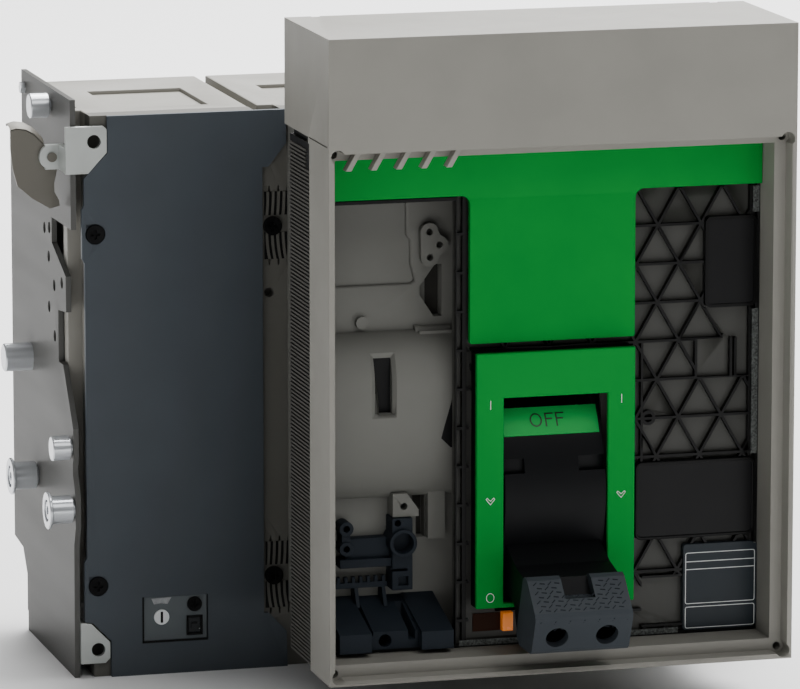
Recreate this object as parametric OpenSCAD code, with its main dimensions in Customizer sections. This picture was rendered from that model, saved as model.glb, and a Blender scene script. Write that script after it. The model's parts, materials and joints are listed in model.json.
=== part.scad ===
// Moving part of a four pole drawout circuit breaker with a toggle handle.
// X runs to the right across the poles, Y to the rear and Z up.
// X is zero midway between the poles, Y at the front plane of the case and Z at its bottom.

/* [Poles and case] */
// Distance between pole centres
pole_pitch = 70; // [68:0.5:76]
// Resin outside the end poles
end_wall = 7.5; // [6:0.5:12]
// Depth of the case behind its front plane
case_d = 112; // [110:1:130]
// Height of the case
case_h = 256; // [254:1:275]
// Thickness of the front wall of the poles
mid_d = 10; // [8:0.5:12]
// Width of the groove between two poles
groove_w = 5; // [3:0.5:8]
// Depth of the groove between two poles
groove_deep = 4; // [2:0.5:6]
// Width of the chamber in each pole
chamber_w = 56; // [54:0.5:58]
// Thickness of the rear wall
rear_wall = 9; // [7:0.5:12]
// Thickness of the floor of the chambers
floor_t = 12; // [8:0.5:16]
// Depth of the recess in the top of each pole
top_recess = 1.8; // [1:0.2:3]

/* [Pole cover plate] */
// Thickness of the dark plate over the left pole
cover_t = 2.5; // [2:0.1:4]
// Radius of the cover screw heads
cover_screw_r = 4.2; // [3:0.1:4.5]
// Width of the insert in the dark plate
insert_w = 30; // [28:0.5:34]
// Height of the insert in the dark plate
insert_h = 20.6; // [19.5:0.1:24]

/* [Side plates] */
// Gap between the case and a side plate
side_gap = 6.5; // [5:0.1:9]
// Thickness of a side plate
plate_t = 2.5; // [2:0.1:4]
// Depth of a side plate
plate_d = 129; // [126:1:140]
// Height of a side plate
plate_h = 263.5; // [262:0.5:275]
// Sheet thickness of the corner brackets
bracket_t = 2.5; // [2:0.1:3]
// Sheet thickness of the levers
lever_t = 1.6; // [1:0.1:2.5]

/* [Wheels and guide studs] */
// Radius of the upper roller
top_roller_r = 5.6; // [5:0.1:6]
// Radius of the plain guide shaft
guide_r = 6.5; // [5:0.1:8]
// Reach of the guide shaft from the side plate
guide_l = 13; // [10:0.5:18]
// Radius of the small roller
small_roller_r = 5.6; // [5:0.1:6]
// Radius of the flanged wheels
wheel_r = 6.4; // [5.8:0.1:6.8]
// Radius of the flange of a wheel
flange_r = 8.5; // [7.5:0.1:9]
// Thickness of the flange of a wheel
flange_t = 1.5; // [1:0.1:2.5]

/* [Bezel] */
// Width of the bezel
bezel_w = 210; // [206:1:220]
// Height of the bezel with its hood
bezel_h = 281.7; // [279:0.1:295]
// Distance of the bezel front from the case front plane
bezel_y = 152; // [150:0.5:160]
// Depth of the hood
hood_d = 76; // [70:0.5:80]
// Height of the hood
hood_h = 49.5; // [46:0.1:54]
// Depth of the flange below the hood
flange_d = 33.5; // [32:0.1:35]
// Width of the front rim
rim_w = 2.3; // [2:0.1:3]
// Depth of the rim in front of the ledge
rim_d = 8.8; // [7:0.1:10]
// Width of the ledge inside the rim
ledge_w = 5.2; // [4:0.1:6]
// Wall thickness of the hood
hood_wall = 3; // [2:0.1:4]
// Radius of the screw wells in the corners
well_r = 3.1; // [2.8:0.1:3.3]
// Radius of the screw holes in the wells
well_hole_r = 1.8; // [1.6:0.05:2]

/* [Front cover] */
// Thickness of the cover panel
panel_t = 2.5; // [2:0.1:3.5]
// Height of the stiffening ribs
rib_h = 3.2; // [2:0.1:4]
// Thickness of the stiffening ribs
rib_t = 1.1; // [0.8:0.1:1.6]
// Side of the rib triangles
tri_side = 19.8; // [16:0.1:22]
// Pitch of the slats in the side grilles
slat_pitch = 2.35; // [2.2:0.05:3]
// Gap between two slats
slat_gap = 1.15; // [0.9:0.05:1.3]

/* [Toggle] */
// Middle of the toggle across the bezel
toggle_x = 29.3; // [28:0.1:30]
// Height of the toggle hinge
hinge_z = 100; // [98:0.5:102]
// Depth of the toggle hinge behind the front of the escutcheon
hinge_back = 61.4; // [60:0.1:63]
// Radius of the toggle drum
drum_r = 61.3; // [60:0.1:61.6]
// Wall of the toggle drum
drum_wall = 3.5; // [2.5:0.1:5]
// Width of the toggle drum
drum_w = 45.8; // [44:0.1:46]
// Width of the grip
grip_w = 44; // [42:0.1:45]
// Radius of the holes for an extension handle
grip_hole_r = 5; // [4:0.1:5.5]
// Distance between the extension handle holes
grip_hole_pitch = 22.6; // [18:0.1:24]
// Radius of the handle pin
handle_pin_r = 4; // [3:0.1:5]

/* [Contacts and shaft] */
// Depth of the pole shaft behind the case front plane
shaft_y = 34; // [33:0.5:36]
// Height of the pole shaft
shaft_z = 84; // [82:0.5:86]
// Radius of the pole shaft
shaft_r = 11; // [9:0.5:12]
// Length of the contact fingers from the shaft axis
finger_l = 66; // [62:0.5:67]
// Width of one contact finger
finger_w = 6; // [5:0.1:6.4]
// Lean of the open contact fingers to the front
open_lean = 8; // [6:0.5:10]
// Turn of the pole shaft from open to closed
close_turn = 33; // [30:0.5:34]
// Width of the terminal blades
blade_w = 40; // [34:0.5:44]
// Thickness of the terminal blades
blade_t = 10; // [8:0.5:12]
// Length of the terminal blades behind the case
blade_out = 14; // [10:0.5:16]

/* [Clearances] */
// Radial clearance of a running fit
fit = 0.08; // [0.05:0.01:0.1]
// Gap between pieces that move past each other
run_gap = 0.3; // [0.25:0.05:0.5]
// Gap round a fixed piece in its seat
seat_gap = 0.2; // [0.1:0.05:0.3]

/* [Hidden] */
$fn = 48;

// Colours
case_grey = [0.66, 0.65, 0.62];
cover_blue = [0.21, 0.24, 0.26];
steel = [0.62, 0.62, 0.60];
bright = [0.80, 0.81, 0.83];
green = [0.0, 0.49, 0.17];
black = [0.09, 0.09, 0.10];
grip_blue = [0.28, 0.32, 0.36];
smoke = [0.18, 0.18, 0.17];
copper = [0.72, 0.45, 0.30];
silver = [0.78, 0.78, 0.76];
fibre = [0.55, 0.20, 0.14];
amber = [0.84, 0.51, 0.10];
lever_grey = [0.46, 0.45, 0.42];

// Over-run of a cutting shape
e = 0.5;

poles = 4;
case_w = poles * pole_pitch + 2 * end_wall;
function pole_x(i) = (i - (poles - 1) / 2) * pole_pitch;
function border_x(i) = (i - poles / 2) * pole_pitch;

// Side plate planes, for the right hand side
plate_in = case_w / 2 + side_gap;
plate_out = plate_in + plate_t;

// Bezel planes
bezel_x0 = -pole_pitch - end_wall;
bezel_x1 = bezel_x0 + bezel_w;
bezel_top = case_h + 51.5;
bezel_z0 = bezel_top - bezel_h;
bezel_back = -bezel_y + flange_d;
hood_z = bezel_top - hood_h;
well_in = 4.1;
open_x0 = bezel_x0 + rim_w + ledge_w;
open_x1 = bezel_x1 - rim_w - ledge_w;
open_z0 = bezel_z0 + rim_w + ledge_w;
top_ledge = 3.9;
open_z1 = hood_z - top_ledge;
top_band = 21.3;

// Front cover planes
face_y = -bezel_y + 24;
cover_y = face_y + 3;
skirt_y0 = bezel_back + seat_gap;
skirt_y1 = -bezel_y + 69;
skirt_t = 2.5;
skirt_x0 = bezel_x0 + skirt_t;
skirt_x1 = bezel_x1 - skirt_t;
skirt_z0 = bezel_z0 + 0.7;
skirt_z1 = hood_z + 2;
window_x1 = toggle_x - 45;

// Front housing planes
housing_y = -98;
housing_wall = 3;
housing_x0 = -57;
housing_x1 = skirt_x1 - skirt_t - run_gap;
housing_z0 = 30;
housing_z1 = 252;
barrel_y = -78.3;
barrel_z = 132.8;
barrel_r = 38;

// Toggle hinge line and escutcheon
esc_y = -bezel_y + 18;
esc_t = 2.5;
esc_w = 72;
esc_z0 = 52.1;
esc_z1 = 165.2;
esc_open_w = drum_w + 1.6;
esc_open_z0 = 54.2;
esc_open_z1 = 145.3;
hinge_y = esc_y + hinge_back;

// Mechanism planes across the toggle
frame_in = drum_w / 2 + 1.5;
frame_t = 2.5;
yoke_out = 21.5;
yoke_t = 3;
link_x0 = toggle_x - yoke_out + yoke_t + run_gap;
link_t = 3;
link_play = 1;
yoke_pin_r = 2.5;
yoke_pin_reach = 16;
yoke_pin_lean = 27;
crank_pin_r = 3;
crank_reach = 25.5;
crank_lean = close_turn / 2;
yoke_pin_y = hinge_y - yoke_pin_reach * sin(yoke_pin_lean);
yoke_pin_z = hinge_z + yoke_pin_reach * cos(yoke_pin_lean);
crank_pin_y = shaft_y - crank_reach * sin(crank_lean);
crank_pin_z = shaft_z + crank_reach * cos(crank_lean);

// Contact sizes
finger_count = 5;
finger_pitch = finger_w + 1.6;
finger_t = 8;
pad_t = 2;
pad_l = 9;
carrier_r = 16;
carrier_w = finger_count * finger_pitch + 3.2;
upper_z = 200;
lower_z = 40;
foot_z = 132;
post_y = 88;

// Shapes used by several pieces

// Block between two corners
module block(lo, hi) {
    translate(lo) cube(hi - lo);
}

// Round bar along X
module x_rod(y, z, x0, x1, r) {
    translate([x0, y, z]) rotate([0, 90, 0]) cylinder(r = r, h = x1 - x0);
}

// Round bar along Y
module y_rod(x, z, y0, y1, r) {
    translate([x, y0, z]) rotate([-90, 0, 0]) cylinder(r = r, h = y1 - y0);
}

// Outline in X and Z, given a thickness from y0 to the rear
module front_sheet(y0, t) {
    translate([0, y0 + t, 0]) rotate([90, 0, 0]) linear_extrude(t) children();
}

// Outline in Y and Z, given a thickness from x0 to the right
module side_sheet(x0, t) {
    translate([x0, 0, 0]) rotate([90, 0, 90]) linear_extrude(t) children();
}

// Rectangle with round corners
module round_rect(x0, z0, x1, z1, r) {
    translate([x0 + r, z0]) square([x1 - x0 - 2 * r, z1 - z0]);
    translate([x0, z0 + r]) square([x1 - x0, z1 - z0 - 2 * r]);
    for (x = [x0 + r, x1 - r], z = [z0 + r, z1 - r]) translate([x, z]) circle(r);
}

// The right hand pieces are mirror images of the left hand ones
module on_side(s) {
    if (s < 0) children();
    else mirror([1, 0, 0]) children();
}

// Case

module rear_case() color(case_grey) difference() {
    union() {
        block([-case_w / 2, mid_d, 0], [case_w / 2, case_d, case_h]);
        case_side_ribs();
        rear_shrouds();
    }
    top_details(mid_d);
    for (i = [0 : poles - 1]) {
        x = pole_x(i);
        block([x - chamber_w / 2, mid_d - e, floor_t], [x + chamber_w / 2, case_d - rear_wall, case_h - 8]);
        terminal_slot(x, upper_z);
        terminal_slot(x, lower_z);
    }
    x_rod(shaft_y, shaft_z, pole_x(0) - chamber_w / 2 - 4, pole_x(3) + chamber_w / 2 + 4, shaft_r + fit);
}

// Ribs that hold the side plates off the case
module case_side_ribs() {
    rib_w = 8;
    for (s = [0, 1]) mirror([s, 0, 0]) for (y = [19, case_d - 3 - rib_w]) {
        block([-plate_in, y, 30], [-case_w / 2 + e, y + rib_w, case_h]);
    }
}

// Collars round the terminal slots
module rear_shrouds() {
    for (i = [0 : poles - 1], z = [upper_z, lower_z]) {
        block([pole_x(i) - blade_w / 2 - 6, case_d - e, z - 6],
              [pole_x(i) + blade_w / 2 + 6, case_d + 4, z + blade_t + 6]);
    }
}

// Barriers that stand up from the rear face between the poles
module phase_barriers() color(case_grey) for (i = [1 : poles - 1]) {
    block([border_x(i) - 3, case_d, 0], [border_x(i) + 3, case_d + 10, case_h - 6]);
}

module terminal_slot(x, z) {
    block([x - blade_w / 2 - seat_gap, case_d - rear_wall - e, z - seat_gap],
          [x + blade_w / 2 + seat_gap, case_d + 4 + e, z + blade_t + seat_gap]);
}

// Grooves between the poles and the recess in each pole's top
module top_details(y0) {
    margin = 18;
    outer = 16;
    for (i = [1 : poles - 1]) {
        block([border_x(i) - groove_w / 2, y0 - e, case_h - groove_deep],
              [border_x(i) + groove_w / 2, case_d + 11, case_h + e]);
        block([border_x(i) - groove_w / 2, -e, case_h - groove_deep],
              [border_x(i) + 2 * groove_w, 14, case_h + e]);
    }
    for (i = [0 : poles - 1]) {
        x0 = i == 0 ? -case_w / 2 + outer : border_x(i) + margin;
        x1 = i == poles - 1 ? case_w / 2 - outer : border_x(i + 1) - margin;
        block([x0, 22, case_h - top_recess], [x1, 76.4, case_h + e]);
    }
}

module mid_case() color(case_grey) difference() {
    block([-case_w / 2, 0, 0], [case_w / 2, mid_d, case_h]);
    top_details(0);
    for (i = [1 : poles - 1], z = screw_rows) vent_fins(border_x(i) + 9, z);
    for (i = [1 : poles - 1], z = screw_rows) y_rod(border_x(i) + screw_dx, z, -e, 7, 2.5);
    for (x = [-screw_x, screw_x], z = screw_rows) y_rod(x, z, -e, 7, 2.5);
    for (i = [0 : poles - 1]) y_rod(border_x(i) + 4.6, 172.6, -e, 6, 2.2);
    link_window();
    crank_relief();
    insert_pocket();
    bracket_pockets();
}

screw_rows = [42.3, 203];
screw_dx = 6.1;
screw_x = case_w / 2 - 1.6;

// Three tapered slots above and below each screw
module vent_fins(x, z) {
    for (k = [-1 : 1], s = [-1, 1]) front_sheet(-e, 6 + e)
        polygon([[x + 4.2 * k - 1.2, z + s * 8], [x + 4.2 * k + 1.2, z + s * 8],
                 [x + 4.2 * k + 0.3, z + s * 18], [x + 4.2 * k - 0.3, z + s * 18]]);
}

// Way through the front wall for the toggle link
module link_window() {
    block([link_x0 - 4.3, -e, crank_pin_z - 12], [link_x0 + link_t + 1, mid_d + e, yoke_pin_z + 12]);
}

// Room behind the front wall for the tips of the carriers
module crank_relief() {
    for (i = [0 : poles - 1]) {
        block([pole_x(i) - chamber_w / 2, 6, shaft_z - 34], [pole_x(i) + chamber_w / 2, mid_d + e, shaft_z + 70]);
    }
}

// Corner pockets behind the holes of the brackets
module bracket_pockets() {
    for (s = [0, 1], z = [[7, 20], [238, 251.2]]) mirror([s, 0, 0])
        block([-case_w / 2 - e, -e, z[0]], [-bracket_face - 2.2, mid_d - 1, z[1]]);
}

module insert_pocket() {
    block([insert_x - insert_w / 2 + 3, -e, insert_z - insert_h / 2 + 3],
          [insert_x + insert_w / 2 - 3, 5, insert_z + insert_h / 2 - 3]);
    y_rod(insert_x + 9, insert_z + 6, -e, 7, 2);
}

// Dark plate over the left pole

insert_x = pole_x(0) - 5.4;
insert_z = 25.5;

module pole_cover_outline() {
    x = pole_x(0);
    tab = 11;
    polygon(concat([
        [x - 35, case_h], [x + 47, case_h], [x + 47, 240.6], [x + 38.7, 230.2], [x + 36, 230.2],
        [x + 36, 25.3], [x + 38.2, 25.3], [x + 46.5, 16.5], [x + 47, 0], [x - 35, 0], [x - 35, 16.6],
        [x - 43.5, 25.4], [x - 47, 26]],
        [for (z = screw_rows) each [[x - 47, z - tab], [x - 47, z + tab], [x - 45.8, z + tab + 2],
                                    [x - 45.8, z == screw_rows[1] ? 228 : screw_rows[1] - tab - 2]]],
        [[x - 43.8, 230.4], [x - 35, 239.4]]));
}

module pole_cover() color(cover_blue) difference() {
    front_sheet(-cover_t, cover_t) difference() {
        pole_cover_outline();
        round_rect(insert_x - insert_w / 2, insert_z - insert_h / 2, insert_x + insert_w / 2,
                   insert_z + insert_h / 2, 0.5);
        for (z = screw_rows) translate([-screw_x, z]) circle(2.2);
    }
    for (z = screw_rows) {
        y_rod(-screw_x, z, -cover_t - e, -cover_t + 1.4, cover_screw_r + 0.4);
        block([-screw_x - cover_screw_r, -cover_t - e, z - 0.4], [-screw_x, -cover_t + 1.4, z + cover_screw_r + 0.4]);
    }
}

// One black screw with a cross recess, its head at y0
module cross_screw(x, z, y0, r, head, shank_r, shank) color(black) difference() {
    union() {
        y_rod(x, z, y0, y0 + head, r);
        y_rod(x, z, y0 + head - e, y0 + head + shank, shank_r);
    }
    for (a = [0, 90]) translate([x, y0, z]) rotate([0, a, 0]) block([-r / 2, -e, -r / 8], [r / 2, head / 2, r / 8]);
}

module cover_screws() {
    for (z = screw_rows) {
        cross_screw(-screw_x, z, -cover_t - 0.6, cover_screw_r, 2, 1.8, 6);
        cross_screw(border_x(1) + screw_dx, z, -1.8, cover_screw_r, 1.8, 1.8, 6);
    }
}

module cover_insert() color(black) difference() {
    block([insert_x - insert_w / 2 + seat_gap, -cover_t + 0.8, insert_z - insert_h / 2 + seat_gap],
          [insert_x + insert_w / 2 - seat_gap, 0, insert_z + insert_h / 2 - seat_gap]);
    y_rod(disc_x, disc_z, -cover_t, e, disc_r + fit);
    y_rod(insert_x + 9, insert_z + 6, -cover_t, e, 1.9);
    block([button_x - 3, -cover_t, button_z - 3.7], [button_x + 3, e, button_z + 3.7]);
}

disc_x = insert_x - 6.2;
disc_z = insert_z + 0.7;
disc_r = 3.5;
button_x = insert_x + 9;
button_z = insert_z - 3.7;

module lock_disc() color("white") difference() {
    union() {
        y_rod(disc_x, disc_z, -cover_t + 0.2, 4, disc_r);
    }
    block([disc_x - 0.5, -cover_t, disc_z - 2.4], [disc_x + 0.5, -0.9, disc_z + 2.4]);
}

module insert_screw() {
    cross_screw(insert_x + 9, insert_z + 6, -cover_t - 0.4, 3.4, 1.2, 1.8, 5.5);
}

module test_button() color(black) {
    block([button_x - 3 + run_gap, -cover_t + 0.3, button_z - 3.7 + run_gap],
          [button_x + 3 - run_gap, 1.2, button_z + 3.7 - run_gap]);
    block([button_x - 1.5, -cover_t - 0.5, button_z - 1.4], [button_x + 1.5, -cover_t + 0.3, button_z + 1.4]);
}

// Arc chutes

module arc_chute(i) {
    x = pole_x(i);
    half = 24;
    y0 = 26;
    y1 = 84;
    z0 = 160;
    z1 = case_h - 8 - seat_gap;
    color(fibre) {
        for (s = [-1, 1]) block([x + s * half - 1, y0, z0], [x + s * half + 1, y1, z1]);
        block([x - half, y0, z1 - 3], [x + half, y1, z1]);
        block([x - chamber_w / 2 + seat_gap, y0 + 4, z1 - 3], [x + chamber_w / 2 - seat_gap, y1 - 4, z1]);
    }
    color(steel) for (k = [0 : 9]) front_sheet(y0 + 3 + 5.6 * k, 1.6)
        polygon([[x - half, z0 + 4], [x - 8, z0 + 4], [x - 2, z0 + 28], [x + 2, z0 + 28], [x + 8, z0 + 4],
                 [x + half, z0 + 4], [x + half, z1 - 8], [x - half, z1 - 8]]);
}

module arc_chute_1() { arc_chute(0); }
module arc_chute_2() { arc_chute(1); }
module arc_chute_3() { arc_chute(2); }
module arc_chute_4() { arc_chute(3); }

// Terminals and contacts

blade_end = case_d + blade_out;

module upper_terminals() color(copper) for (i = [0 : poles - 1]) {
    x = pole_x(i);
    difference() {
        union() {
            block([x - blade_w / 2, post_y, upper_z], [x + blade_w / 2, blade_end, upper_z + blade_t]);
            block([x - blade_w / 2, post_y, foot_z], [x + blade_w / 2, post_y + blade_t, upper_z + blade_t]);
            side_sheet(x - blade_w / 2, blade_w) polygon([[foot_y(foot_z), foot_z], [post_y + e, foot_z],
                [post_y + e, foot_z + 10], [foot_y(foot_z + 10), foot_z + 10]]);
        }
        for (s = [-1, 1]) blade_edge(x, upper_z, s);
    }
}

// The plug end of a blade is thinned on both faces
module blade_edge(x, z, s) {
    zc = z + blade_t / 2;
    side_sheet(x - blade_w / 2 - e, blade_w + 2 * e)
        polygon([[blade_end - 8, zc + s * blade_t / 2], [blade_end + 1, zc + s * blade_t / 4],
                 [blade_end + 1, zc + s * blade_t], [blade_end - 8, zc + s * blade_t]]);
}

closed_lean = close_turn - open_lean;
pad_face = finger_t / 2 + pad_t + run_gap;
fixed_pad_t = 2.5;

// Depth of the leaning contact plane at a height, behind the fixed pad
function foot_y(z) = shaft_y + (z - shaft_z) * tan(closed_lean)
    + (pad_face + fixed_pad_t) / cos(closed_lean);

module fixed_contacts() color(silver) for (i = [0 : poles - 1]) {
    x = pole_x(i);
    translate([x, shaft_y, shaft_z]) rotate([-closed_lean, 0, 0])
        block([-blade_w / 2, pad_face, finger_l - pad_l], [blade_w / 2, pad_face + fixed_pad_t, finger_l]);
}

module lower_terminals() color(copper) for (i = [0 : poles - 1]) {
    x = pole_x(i);
    difference() {
        block([x - blade_w / 2, 50, lower_z], [x + blade_w / 2, blade_end, lower_z + blade_t]);
        for (s = [-1, 1]) blade_edge(x, lower_z, s);
    }
}

// Stacks of thin strip that rise from the lower terminals towards the carriers
module flexible_braids() color(copper) for (i = [0 : poles - 1], k = [0 : finger_count - 1]) {
    x = pole_x(i) + (k - (finger_count - 1) / 2) * finger_pitch;
    z0 = lower_z + blade_t;
    side_sheet(x - finger_w / 2, finger_w)
        polygon([[51, z0], [60, z0], [59, z0 + 6], [55, z0 + 14], [shaft_y + carrier_r + 1, shaft_z - 14],
                 [shaft_y + carrier_r - 1.4, shaft_z - 16.5], [51, z0 + 10]]);
}

module current_transformers() color(black) for (i = [0 : poles - 1]) {
    x = pole_x(i);
    difference() {
        union() {
            block([x - 25, 74, lower_z - 16], [x + 25, 96, lower_z + blade_t + 16]);
            block([x - chamber_w / 2 + seat_gap, 78, lower_z - 12], [x + chamber_w / 2 - seat_gap, 92, lower_z - 6]);
        }
        block([x - blade_w / 2 - seat_gap, 73, lower_z - seat_gap],
              [x + blade_w / 2 + seat_gap, 97, lower_z + blade_t + seat_gap]);
        for (s = [-1, 1]) block([x + s * 25 - 1, 77, lower_z - 17], [x + s * 25 + 1, 93, lower_z + blade_t + 17]);
    }
}

module pole_shaft() {
    color(steel) x_rod(shaft_y, shaft_z, pole_x(0) - chamber_w / 2 - 3.7, pole_x(3) + chamber_w / 2 + 3.7, shaft_r);
    color(black) for (i = [0 : poles - 1]) carrier(pole_x(i));
    color(steel) crank();
}

// Moulded carrier that holds the fingers of one pole
module carrier(x) {
    w = carrier_w;
    x_rod(shaft_y, shaft_z, x - w / 2, x + w / 2, carrier_r);
    translate([x, shaft_y, shaft_z]) rotate([open_lean, 0, 0]) {
        for (s = [-1, 1]) block([s * (w / 2 - 1.2) - 0.8, -9, 1], [s * (w / 2 - 1.2) + 0.8, 9, 30]);
        block([0.4 - w / 2, -9, 1], [w / 2 - 0.4, -finger_t / 2 - 1, 30]);
    }
}

// Crank beside the third pole that takes the toggle link
module crank() {
    x0 = toggle_x - yoke_out;
    side_sheet(x0, yoke_t) {
        translate([shaft_y, shaft_z]) circle(15);
        translate([crank_pin_y, crank_pin_z]) circle(6);
        translate([shaft_y, shaft_z]) rotate(crank_lean) translate([-5, 0]) square([10, crank_reach]);
    }
    x_rod(crank_pin_y, crank_pin_z, x0 + 1, link_x0 + link_t + 0.3, crank_pin_r);
}

module contact_fingers() for (i = [0 : poles - 1], k = [0 : finger_count - 1]) {
    x = pole_x(i) + (k - (finger_count - 1) / 2) * finger_pitch;
    translate([x, shaft_y, shaft_z]) rotate([open_lean, 0, 0]) {
        color(copper) difference() {
            side_sheet(-finger_w / 2, finger_w)
                polygon([[-finger_t / 2, carrier_r + 0.1], [finger_t / 2, carrier_r + 0.1], [finger_t / 2, finger_l],
                         [-1, finger_l], [-finger_t / 2, finger_l - 6]]);
            x_rod(0, 24, -finger_w, finger_w, 1.6);
        }
        color(silver) block([-finger_w / 2, finger_t / 2, finger_l - pad_l], [finger_w / 2, finger_t / 2 + pad_t, finger_l]);
    }
}

// Front housing and what stands in its left opening

module front_housing() color(case_grey) difference() {
    union() {
        difference() {
            block([housing_x0, housing_y, housing_z0], [housing_x1, -run_gap, housing_z1]);
            block([housing_x0 + housing_wall, housing_y + housing_wall, housing_z0 + housing_wall],
                  [housing_x1 - housing_wall, e, housing_z1 - housing_wall]);
        }
        housing_bulge();
        housing_bosses();
    }
    upper_step();
    barrel_slot();
    barrel_hollow();
    mechanism_window();
    boss_holes();
    left_pockets();
}

// Shallow step beside the upper bosses
module upper_step() {
    front_sheet(housing_y - e, 1.8 + e) polygon([[housing_x0 - 1, 229], [-28.7, 229], [-28.7, 213], [-26.8, 210.5],
        [-26.8, 200], [-24.9, 192.7], [-26.5, 191.4], [housing_x0 - 1, 191.4]]);
}

// Barrel shaped bulge over the shaft bearing
module housing_bulge() {
    intersection() {
        x_rod(barrel_y, barrel_z, housing_x0, mech_x0, barrel_r);
        block([housing_x0, -bezel_y, housing_z0], [mech_x0, housing_y + housing_wall, housing_z1]);
    }
}

module barrel_hollow() {
    x_rod(barrel_y, barrel_z, housing_x0 + housing_wall, mech_x0 - housing_wall, barrel_r - housing_wall);
}

// Curved slot in the bulge
module barrel_slot() {
    intersection() {
        x_rod(barrel_y, barrel_z, -45.8, -38.2, barrel_r + e);
        block([-46, -bezel_y, 137], [-38, barrel_y - 20, 160.5]);
    }
}

mech_x0 = toggle_x - frame_in - frame_t - 1.5;
mech_x1 = toggle_x + frame_in + frame_t + 1.5;

module mechanism_window() {
    block([mech_x0, housing_y - 30, hinge_z - drum_r - 4], [mech_x1, housing_y + housing_wall + e, hinge_z + drum_r + 4]);
}

// Bosses and ledges that show through the left opening
module housing_bosses() {
    deep = 6;
    y_rod(-49, 175.2, housing_y - 2.5, housing_y + e, 2.8);
    front_sheet(housing_y - 4, 4 + e) {
        for (p = boss_points) translate(p) circle(4);
        polygon([[-23, 214.4], [-19, 218.4], [-10.6, 209.5], [-10.6, 207], [-18.8, 199.2], [-22.8, 203.2]]);
    }
    pocket_backs();
    front_sheet(housing_y - deep, deep + e) polygon([[-24, 171], [-7.5, 171], [-7.5, 166.5], [-24, 166.5]]);
    front_sheet(housing_y - 9, 9 + e) polygon([[-37, 99.7], [-30.5, 99.7], [-25.3, 92.3], [-25.3, 89.4],
        [-37, 89.4]]);
    front_sheet(housing_y - 5, 5 + e) polygon([[-20, 101], [-12.2, 101], [-12.2, 78], [-20, 78]]);
}

boss_points = [[-19, 214.4], [-14.5, 208.6], [-18.8, 203.2]];

module boss_holes() {
    for (p = boss_points) y_rod(p[0], p[1], housing_y - 5, housing_y + 1, 1.5);
    y_rod(-32, 94, housing_y - 10, housing_y - 2, 1.6);
}

// Tapered pockets right of the bulge
pocket_deep = 6;

module pocket_outlines() {
    polygon([[-15.5, 199.5], [-12.4, 199.5], [-12.4, 176.2], [-16, 176.2], [-22.5, 186], [-22.5, 190]]);
    polygon([[-24.5, 111], [-17.2, 111.3], [-19.6, 101.2], [-20.2, 101], [-20.2, 78], [-24.2, 78], [-24.2, 92],
        [-30.4, 101.2], [-30.2, 104.8]]);
}

module left_pockets() {
    front_sheet(housing_y - e, pocket_deep + e) pocket_outlines();
}

module pocket_backs() {
    front_sheet(housing_y + 1, pocket_deep + 1) {
        square_between(-24.5, 174.2, -10.4, 201.5);
        square_between(-32.4, 76, -15.2, 113.3);
    }
}

module mechanism_frames() color(steel) for (s = [-1, 1]) {
    x0 = s < 0 ? toggle_x - frame_in - frame_t : toggle_x + frame_in;
    difference() {
        side_sheet(x0, frame_t) polygon([[-108, 132], [-96, 148], [-40, 160], [-run_gap, 160], [-run_gap, 44],
            [-50, 44], [-96, 52], [-108, 68]]);
        x_rod(hinge_y, hinge_z, x0 - e, x0 + frame_t + e, handle_pin_r + 0.05);
        for (y = [-22, -84]) x_rod(y, y == -22 ? 140 : 132, x0 - e, x0 + frame_t + e, 3.05);
        side_sheet(x0 - e, frame_t + 2 * e) polygon([[-52, 88], [-14, 88], [-14, 62], [-44, 62]]);
    }
    if (s < 0) for (p = [[-22, 140], [-22, 52]])
        x_rod(p[0], p[1], x0 + frame_t + 0.02, toggle_x + frame_in - 0.02, 3);
}

module handle_pin() color(bright) {
    x_rod(hinge_y, hinge_z, toggle_x - frame_in - frame_t, toggle_x + frame_in + frame_t, handle_pin_r);
    for (s = [-1, 1]) x_rod(hinge_y, hinge_z, toggle_x + s * (frame_in + frame_t + 0.6) - 0.6,
                            toggle_x + s * (frame_in + frame_t + 0.6) + 0.6, handle_pin_r + 1.5);
}

// Steel legs that carry the drum on the handle pin
arm_angle = 28;

module handle_yoke() color(steel) {
    leg = drum_r - drum_wall - 0.8;
    for (s = [-1, 1]) side_sheet(s < 0 ? toggle_x - yoke_out : toggle_x + yoke_out - yoke_t, yoke_t)
        translate([hinge_y, hinge_z]) difference() {
            union() {
                circle(9);
                rotate(arm_angle) translate([-leg, -7]) square([leg, 14]);
                if (s < 0) rotate(yoke_pin_lean) translate([-6, 0]) square([12, yoke_pin_reach + 5]);
            }
            circle(handle_pin_r + fit);
        }
    x_rod(yoke_pin_y, yoke_pin_z, toggle_x - yoke_out + 1, link_x0 + link_t + 0.4, yoke_pin_r);
    translate([0, hinge_y, hinge_z]) rotate([arm_angle, 0, 0])
        block([toggle_x - yoke_out + 1, -drum_r + drum_wall + 3, -6], [toggle_x + yoke_out - 1, -drum_r + drum_wall + 6, 6]);
}

// Two coil springs in line with the yoke legs, each as stacked rings
module main_springs() color(bright) for (s = [-1, 1]) {
    translate([toggle_x + s * 11, hinge_y, hinge_z]) rotate([arm_angle, 0, 0]) {
        for (k = [0 : 11]) translate([0, -drum_r + drum_wall + 7.5 + 2.9 * k, 0]) rotate([90, 0, 0]) rotate_extrude()
            translate([4.2, 0]) circle(r = 1.5, $fn = 20);
    }
}

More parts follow.
